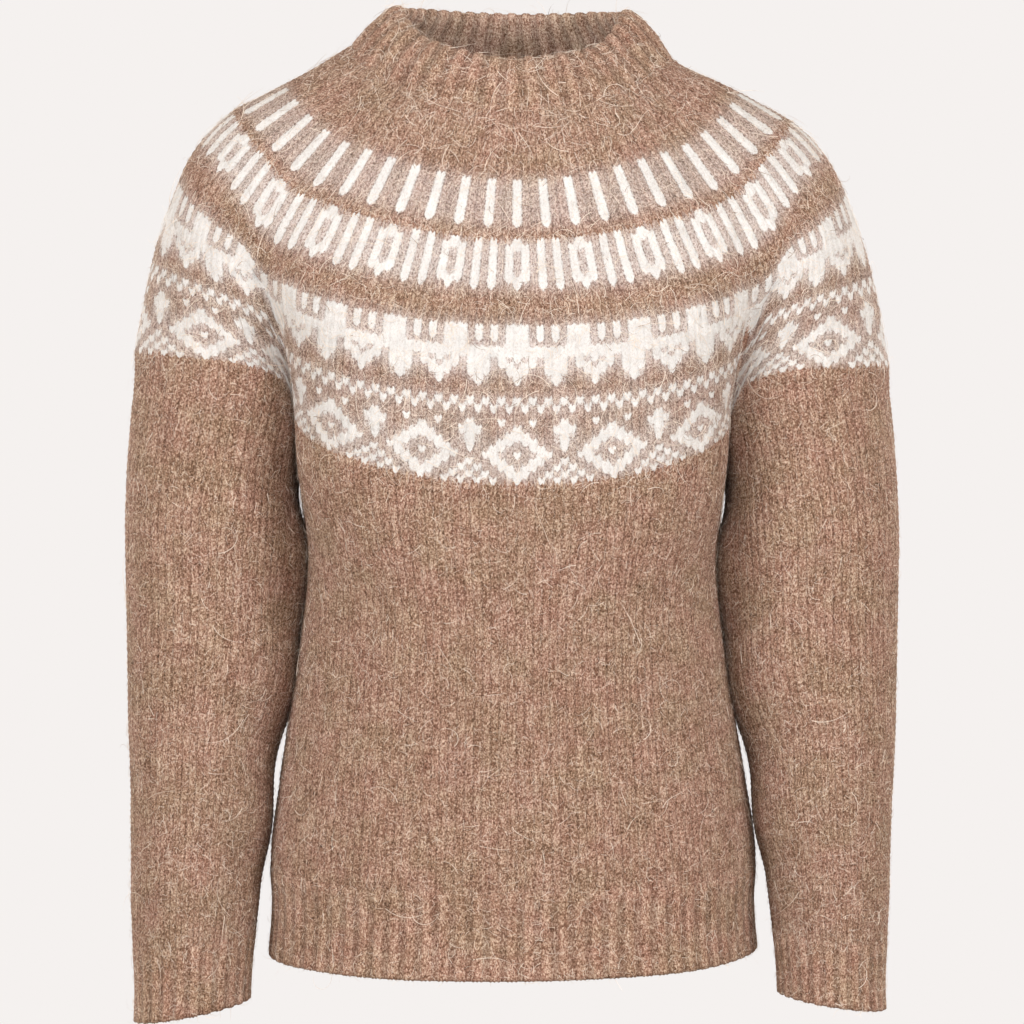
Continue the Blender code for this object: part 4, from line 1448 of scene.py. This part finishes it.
# How dark the painted shade in the gaps between stitches is in each wool, and the sheen of them
# all
PAINTED_GAP_SHADES = {"heather_wool": 0.72, "yoke_wool": 0.74, "rib_wool": 0.80}
WOOL_SHEEN = 0.14

# Points and normals of what has been knitted, by piece, for the fuzz
KNITTED = {}


def wool_named(context, slot):
    """The wool of a slot, made once."""
    name = "knitted_" + slot
    found = bpy.data.materials.get(name)
    if found is None:
        colours = context.scene.pullover_colours
        found = heather_wool(name, colours, WOOL_SHEEN, PAINTED_GAP_SHADES[slot])
    return found


def knit(context, name, node, slot, add):
    """Makes a cloth piece in place of its solid, and keeps its outside for the fuzz.

    add fills the piece's knitting and returns its outside's points and normals."""
    knitting = Knitting()
    shown = add(knitting)
    item = knitting.make(name, wool_named(context, slot))
    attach(item, "root")
    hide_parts(node)
    KNITTED[name] = [part.reshape(-1, 3) for part in shown]


def knit_tube(context, name, node, form, rows, stitches, seed, strips):
    """Knits a tube of stocking stitch, whose form is given at shares of its length."""
    relief = context.scene.pullover_sizes.stitch_relief
    box = MapBox(0.0, 0.0, 1.0, 1.0, strips)

    def grid_of(stitch_shares, levels):
        return form(stitch_shares, levels / rows)

    def add(knitting):
        return stocking_stitch(knitting, grid_of, 0, rows, stitches, relief, seed, box)

    knit(context, name, node, "heather_wool", add)


def knit_band(
    context, name, node, path_of, ribs, rise, seed, strips, turns_round=4.0, within=RIB_INSIDE
):
    """Knits a band of rib over a closed section, which path_of gives at turns all round."""
    box = MapBox(0.0, 0.0, 1.0, 1.0, strips)

    def add(knitting):
        return ribbing(knitting, path_of, ribs, rise, seed, box, turns_round, within)

    knit(context, name, node, "rib_wool", add)


def yoke_at_rounds(stitch_shares, levels):
    """The yoke's rings at rounds of its chart, carried on above the first and below the last."""
    last = len(ROUND_EDGES) - 1
    at = np.interp(levels, np.arange(last + 1), ROUND_EDGES)
    at = np.where(levels < 0, levels * (ROUND_EDGES[1] - ROUND_EDGES[0]), at)
    over = levels - last
    at = np.where(over > 0, 1 + over * (ROUND_EDGES[-1] - ROUND_EDGES[-2]), at)
    return yoke_grid(stitch_shares, at)


def knit_depths(knitting, depths, relief):
    """Adds depths of the yoke, each with its own count of stitches. Returns points and normals."""
    total = sum(depth.last - depth.first for depth in depths)
    seen = []
    low = 0.0
    for depth in depths:
        height = (depth.last - depth.first) / total
        box = MapBox(0.0, low, 1.0, height, 3)
        count = depth.stitches
        shown = stocking_stitch(
            knitting, yoke_at_rounds, depth.first, depth.last, count, relief, count, box, ROUNDS
        )
        seen.append([part.reshape(-1, 3) for part in shown])
        low += height
    return [np.concatenate(parts) for parts in zip(*seen)]


class PULLOVER_OT_yoke(bpy.types.Operator):
    """Knits the round yoke in its two depths, with its chart"""

    bl_idname = "pullover.yoke"
    bl_label = "Knit the yoke"

    def execute(self, context):
        relief = context.scene.pullover_sizes.stitch_relief
        for name, depths in (("yoke_upper", YOKE_UPPER), ("yoke_lower", YOKE_LOWER)):

            def add(knitting):
                return knit_depths(knitting, depths, relief)

            knit(context, name, "yoke", "yoke_wool", add)
        return {"FINISHED"}


class PULLOVER_OT_body(bpy.types.Operator):
    """Knits the body from the yoke to the hem's ribs"""

    bl_idname = "pullover.body"
    bl_label = "Knit the body"

    def execute(self, context):
        knit_tube(
            context,
            "body_knit",
            "body",
            body_grid,
            rows=BODY_ROWS,
            stitches=BODY_STITCHES,
            seed=11,
            strips=3,
        )
        return {"FINISHED"}


class PULLOVER_OT_sleeves(bpy.types.Operator):
    """Knits both sleeves from the yoke to the cuffs' ribs"""

    bl_idname = "pullover.sleeves"
    bl_label = "Knit the sleeves"

    def execute(self, context):
        for side in SIDES:

            def form(stitch_shares, shares):
                return sleeve_grid(stitch_shares, shares, side.cuff_ease) * side.flip

            node = "sleeve_" + side.name
            knit_tube(
                context,
                node + "_knit",
                node,
                form,
                rows=SLEEVE_ROWS,
                stitches=SLEEVE_STITCHES,
                seed=side.sleeve_seed,
                strips=1,
            )
        return {"FINISHED"}


class PULLOVER_OT_neckband(bpy.types.Operator):
    """Knits the folded neckband in one-by-one rib"""

    bl_idname = "pullover.neckband"
    bl_label = "Knit the neckband"

    def execute(self, context):
        knit_band(
            context,
            "neckband_knit",
            "neckband",
            neck_path,
            ribs=NECK_RIBS,
            rise=context.scene.pullover_sizes.neck_rib,
            seed=31,
            strips=2,
            within=RIB_HEIGHTS,
        )
        return {"FINISHED"}


class PULLOVER_OT_hem(bpy.types.Operator):
    """Knits the hem's band in one-by-one rib"""

    bl_idname = "pullover.hem"
    bl_label = "Knit the hem"

    def execute(self, context):
        knit_band(
            context,
            "hem_knit",
            "hem_rib",
            hem_path,
            ribs=HEM_RIBS,
            rise=context.scene.pullover_sizes.hem_rib,
            seed=41,
            strips=3,
        )
        return {"FINISHED"}


class PULLOVER_OT_cuffs(bpy.types.Operator):
    """Knits both cuffs in one-by-one rib"""

    bl_idname = "pullover.cuffs"
    bl_label = "Knit the cuffs"

    def execute(self, context):
        for side in SIDES:

            def path_of(turns):
                return cuff_path(turns, side.cuff_ease) * side.flip

            node = "cuff_" + side.name
            knit_band(
                context,
                node + "_knit",
                node,
                path_of,
                ribs=CUFF_RIBS,
                rise=context.scene.pullover_sizes.cuff_rib,
                seed=side.cuff_seed,
                strips=2,
                turns_round=2 * math.pi,
            )
        return {"FINISHED"}


class PULLOVER_OT_fuzz(bpy.types.Operator):
    """Lays the loose fibres of the wool over the knitting"""

    bl_idname = "pullover.fuzz"
    bl_label = "Raise the fuzz"

    def execute(self, context):
        if not KNITTED:
            raise RuntimeError("knit the pullover before raising its fuzz")
        amount = context.scene.pullover_sizes.fuzz_amount
        pale = loose_fibre("pale_fibre", linear("#dccbbc"), linear("#f8eee4"))
        dark = loose_fibre("brown_fibre", linear("#6f5443"), linear("#a98b76"))
        for number, group in enumerate(FURRED):
            parts = [KNITTED[piece] for piece in group.pieces]
            points, facing = (np.concatenate(values) for values in zip(*parts))
            for kind, share in zip(FUZZES, group.amounts):
                kind = kind._replace(count=int(kind.count * share * amount))
                seed = 100 + 10 * number + len(kind.ending)
                wools = (pale, dark) if kind.ending == "_middle" else (pale,)
                item = sweep_fuzz(group.name + kind.ending, points, facing, kind, seed, wools)
                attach(item, "root")
        return {"FINISHED"}


def pale_room():
    """A world that looks pale and plain behind, and lights the wool with a warm, weaker tone."""
    world = bpy.data.worlds.new("pale_room")
    world.use_nodes = True
    tree = world.node_tree
    tree.nodes.clear()
    backdrop = {"Color": linear("#f5f1ef"), "Strength": 1.0}
    warm = {"Color": linear("#ecd2b0"), "Strength": 0.46}
    seen = add_node(tree, "ShaderNodeBackground", backdrop), "Background"
    room = add_node(tree, "ShaderNodeBackground", warm), "Background"
    path = add_node(tree, "ShaderNodeLightPath"), "Is Camera Ray"
    both = add_node(tree, "ShaderNodeMixShader", {0: path, 1: room, 2: seen})
    add_node(tree, "ShaderNodeOutputWorld", {"Surface": (both, "Shader")})
    return world


def pale_paper():
    """A matt sheet of paper, which the eye loses in the backdrop away from the middle."""
    paper = new_material("pale_paper")
    tree = paper.node_tree
    where = add_node(tree, "ShaderNodeTexCoord"), "Object"
    far = add_node(tree, "ShaderNodeVectorMath", {0: where}, operation="LENGTH"), "Value"
    fade = ranged(tree, far, (0.40, 0.68), kind="SMOOTHSTEP")
    matt = {"Base Color": linear("#f3efec"), "Roughness": 0.9}
    sheet = add_node(tree, "ShaderNodeBsdfPrincipled", matt), "BSDF"
    clear = add_node(tree, "ShaderNodeBsdfTransparent"), "BSDF"
    mixed = add_node(tree, "ShaderNodeMixShader", {0: fade, 1: sheet, 2: clear})
    add_node(tree, "ShaderNodeOutputMaterial", {"Surface": (mixed, "Shader")})
    return paper


class PULLOVER_OT_stage(bpy.types.Operator):
    """Sets the pale floor, the soft lights and the camera"""

    bl_idname = "pullover.stage"
    bl_label = "Set the stage"

    def execute(self, context):
        scene = context.scene
        scene.world = pale_room()
        scene.view_settings.view_transform = "Standard"
        mesh = bpy.data.meshes.new("floor")
        signs = ((-1, -1), (1, -1), (1, 1), (-1, 1))
        corners = [(x * FLOOR_REACH, y * FLOOR_REACH, FLOOR_HEIGHT) for x, y in signs]
        mesh.from_pydata(corners, [], [(0, 1, 2, 3)])
        mesh.materials.append(pale_paper())
        add_object("floor", mesh)
        for light in LIGHTS:
            lamp = bpy.data.lights.new(light.name, "AREA")
            lamp.shape = "SQUARE"
            lamp.size = light.size
            lamp.energy = light.power
            item = add_object(light.name, lamp)
            item.location = light.spot
            aim = np.array(LIGHTS_AIM) - np.array(light.spot)
            item.rotation_euler = (
                math.atan2(math.hypot(aim[0], aim[1]), -aim[2]),
                0.0,
                math.atan2(aim[0], -aim[1]) + math.pi,
            )
        lens = bpy.data.cameras.new("camera")
        lens.sensor_width = SENSOR
        lens.lens = SENSOR * CAMERA_DISTANCE / PICTURE_SPAN
        lens.clip_start = 0.1
        lens.clip_end = 50.0
        camera = add_object("camera", lens)
        camera.location = (0.0, -CAMERA_DISTANCE, CAMERA_HEIGHT)
        camera.rotation_euler = (math.pi / 2, 0.0, 0.0)
        scene.camera = camera
        return {"FINISHED"}


OPERATORS = (
    PULLOVER_OT_stage,
    PULLOVER_OT_neckband,
    PULLOVER_OT_yoke,
    PULLOVER_OT_body,
    PULLOVER_OT_hem,
    PULLOVER_OT_sleeves,
    PULLOVER_OT_cuffs,
    PULLOVER_OT_fuzz,
)


class PULLOVER_PT_panel(bpy.types.Panel):
    """Lists the pullover's pieces, sizes and colours"""

    bl_idname = "PULLOVER_PT_panel"
    bl_label = "Pullover"
    bl_space_type = "VIEW_3D"
    bl_region_type = "UI"
    bl_category = "Pullover"

    def draw(self, context):
        layout = self.layout
        for group in (context.scene.pullover_sizes, context.scene.pullover_colours):
            box = layout.box()
            for name in group.__annotations__:
                box.prop(group, name)
        for operator in OPERATORS:
            layout.operator(operator.bl_idname)


CLASSES = (PulloverSizes, PulloverColours, *OPERATORS, PULLOVER_PT_panel)


def register():
    """Adds the classes, and the scene's sizes and colours."""
    for item in CLASSES:
        bpy.utils.register_class(item)
    bpy.types.Scene.pullover_sizes = bpy.props.PointerProperty(type=PulloverSizes)
    bpy.types.Scene.pullover_colours = bpy.props.PointerProperty(type=PulloverColours)


def unregister():
    """Takes them away again."""
    del bpy.types.Scene.pullover_colours
    del bpy.types.Scene.pullover_sizes
    for item in reversed(CLASSES):
        bpy.utils.unregister_class(item)


def main():
    """Makes the whole pullover."""
    register()
    for operator in OPERATORS:
        group, name = operator.bl_idname.split(".")
        getattr(getattr(bpy.ops, group), name)()


if __name__ == "__main__":
    main()
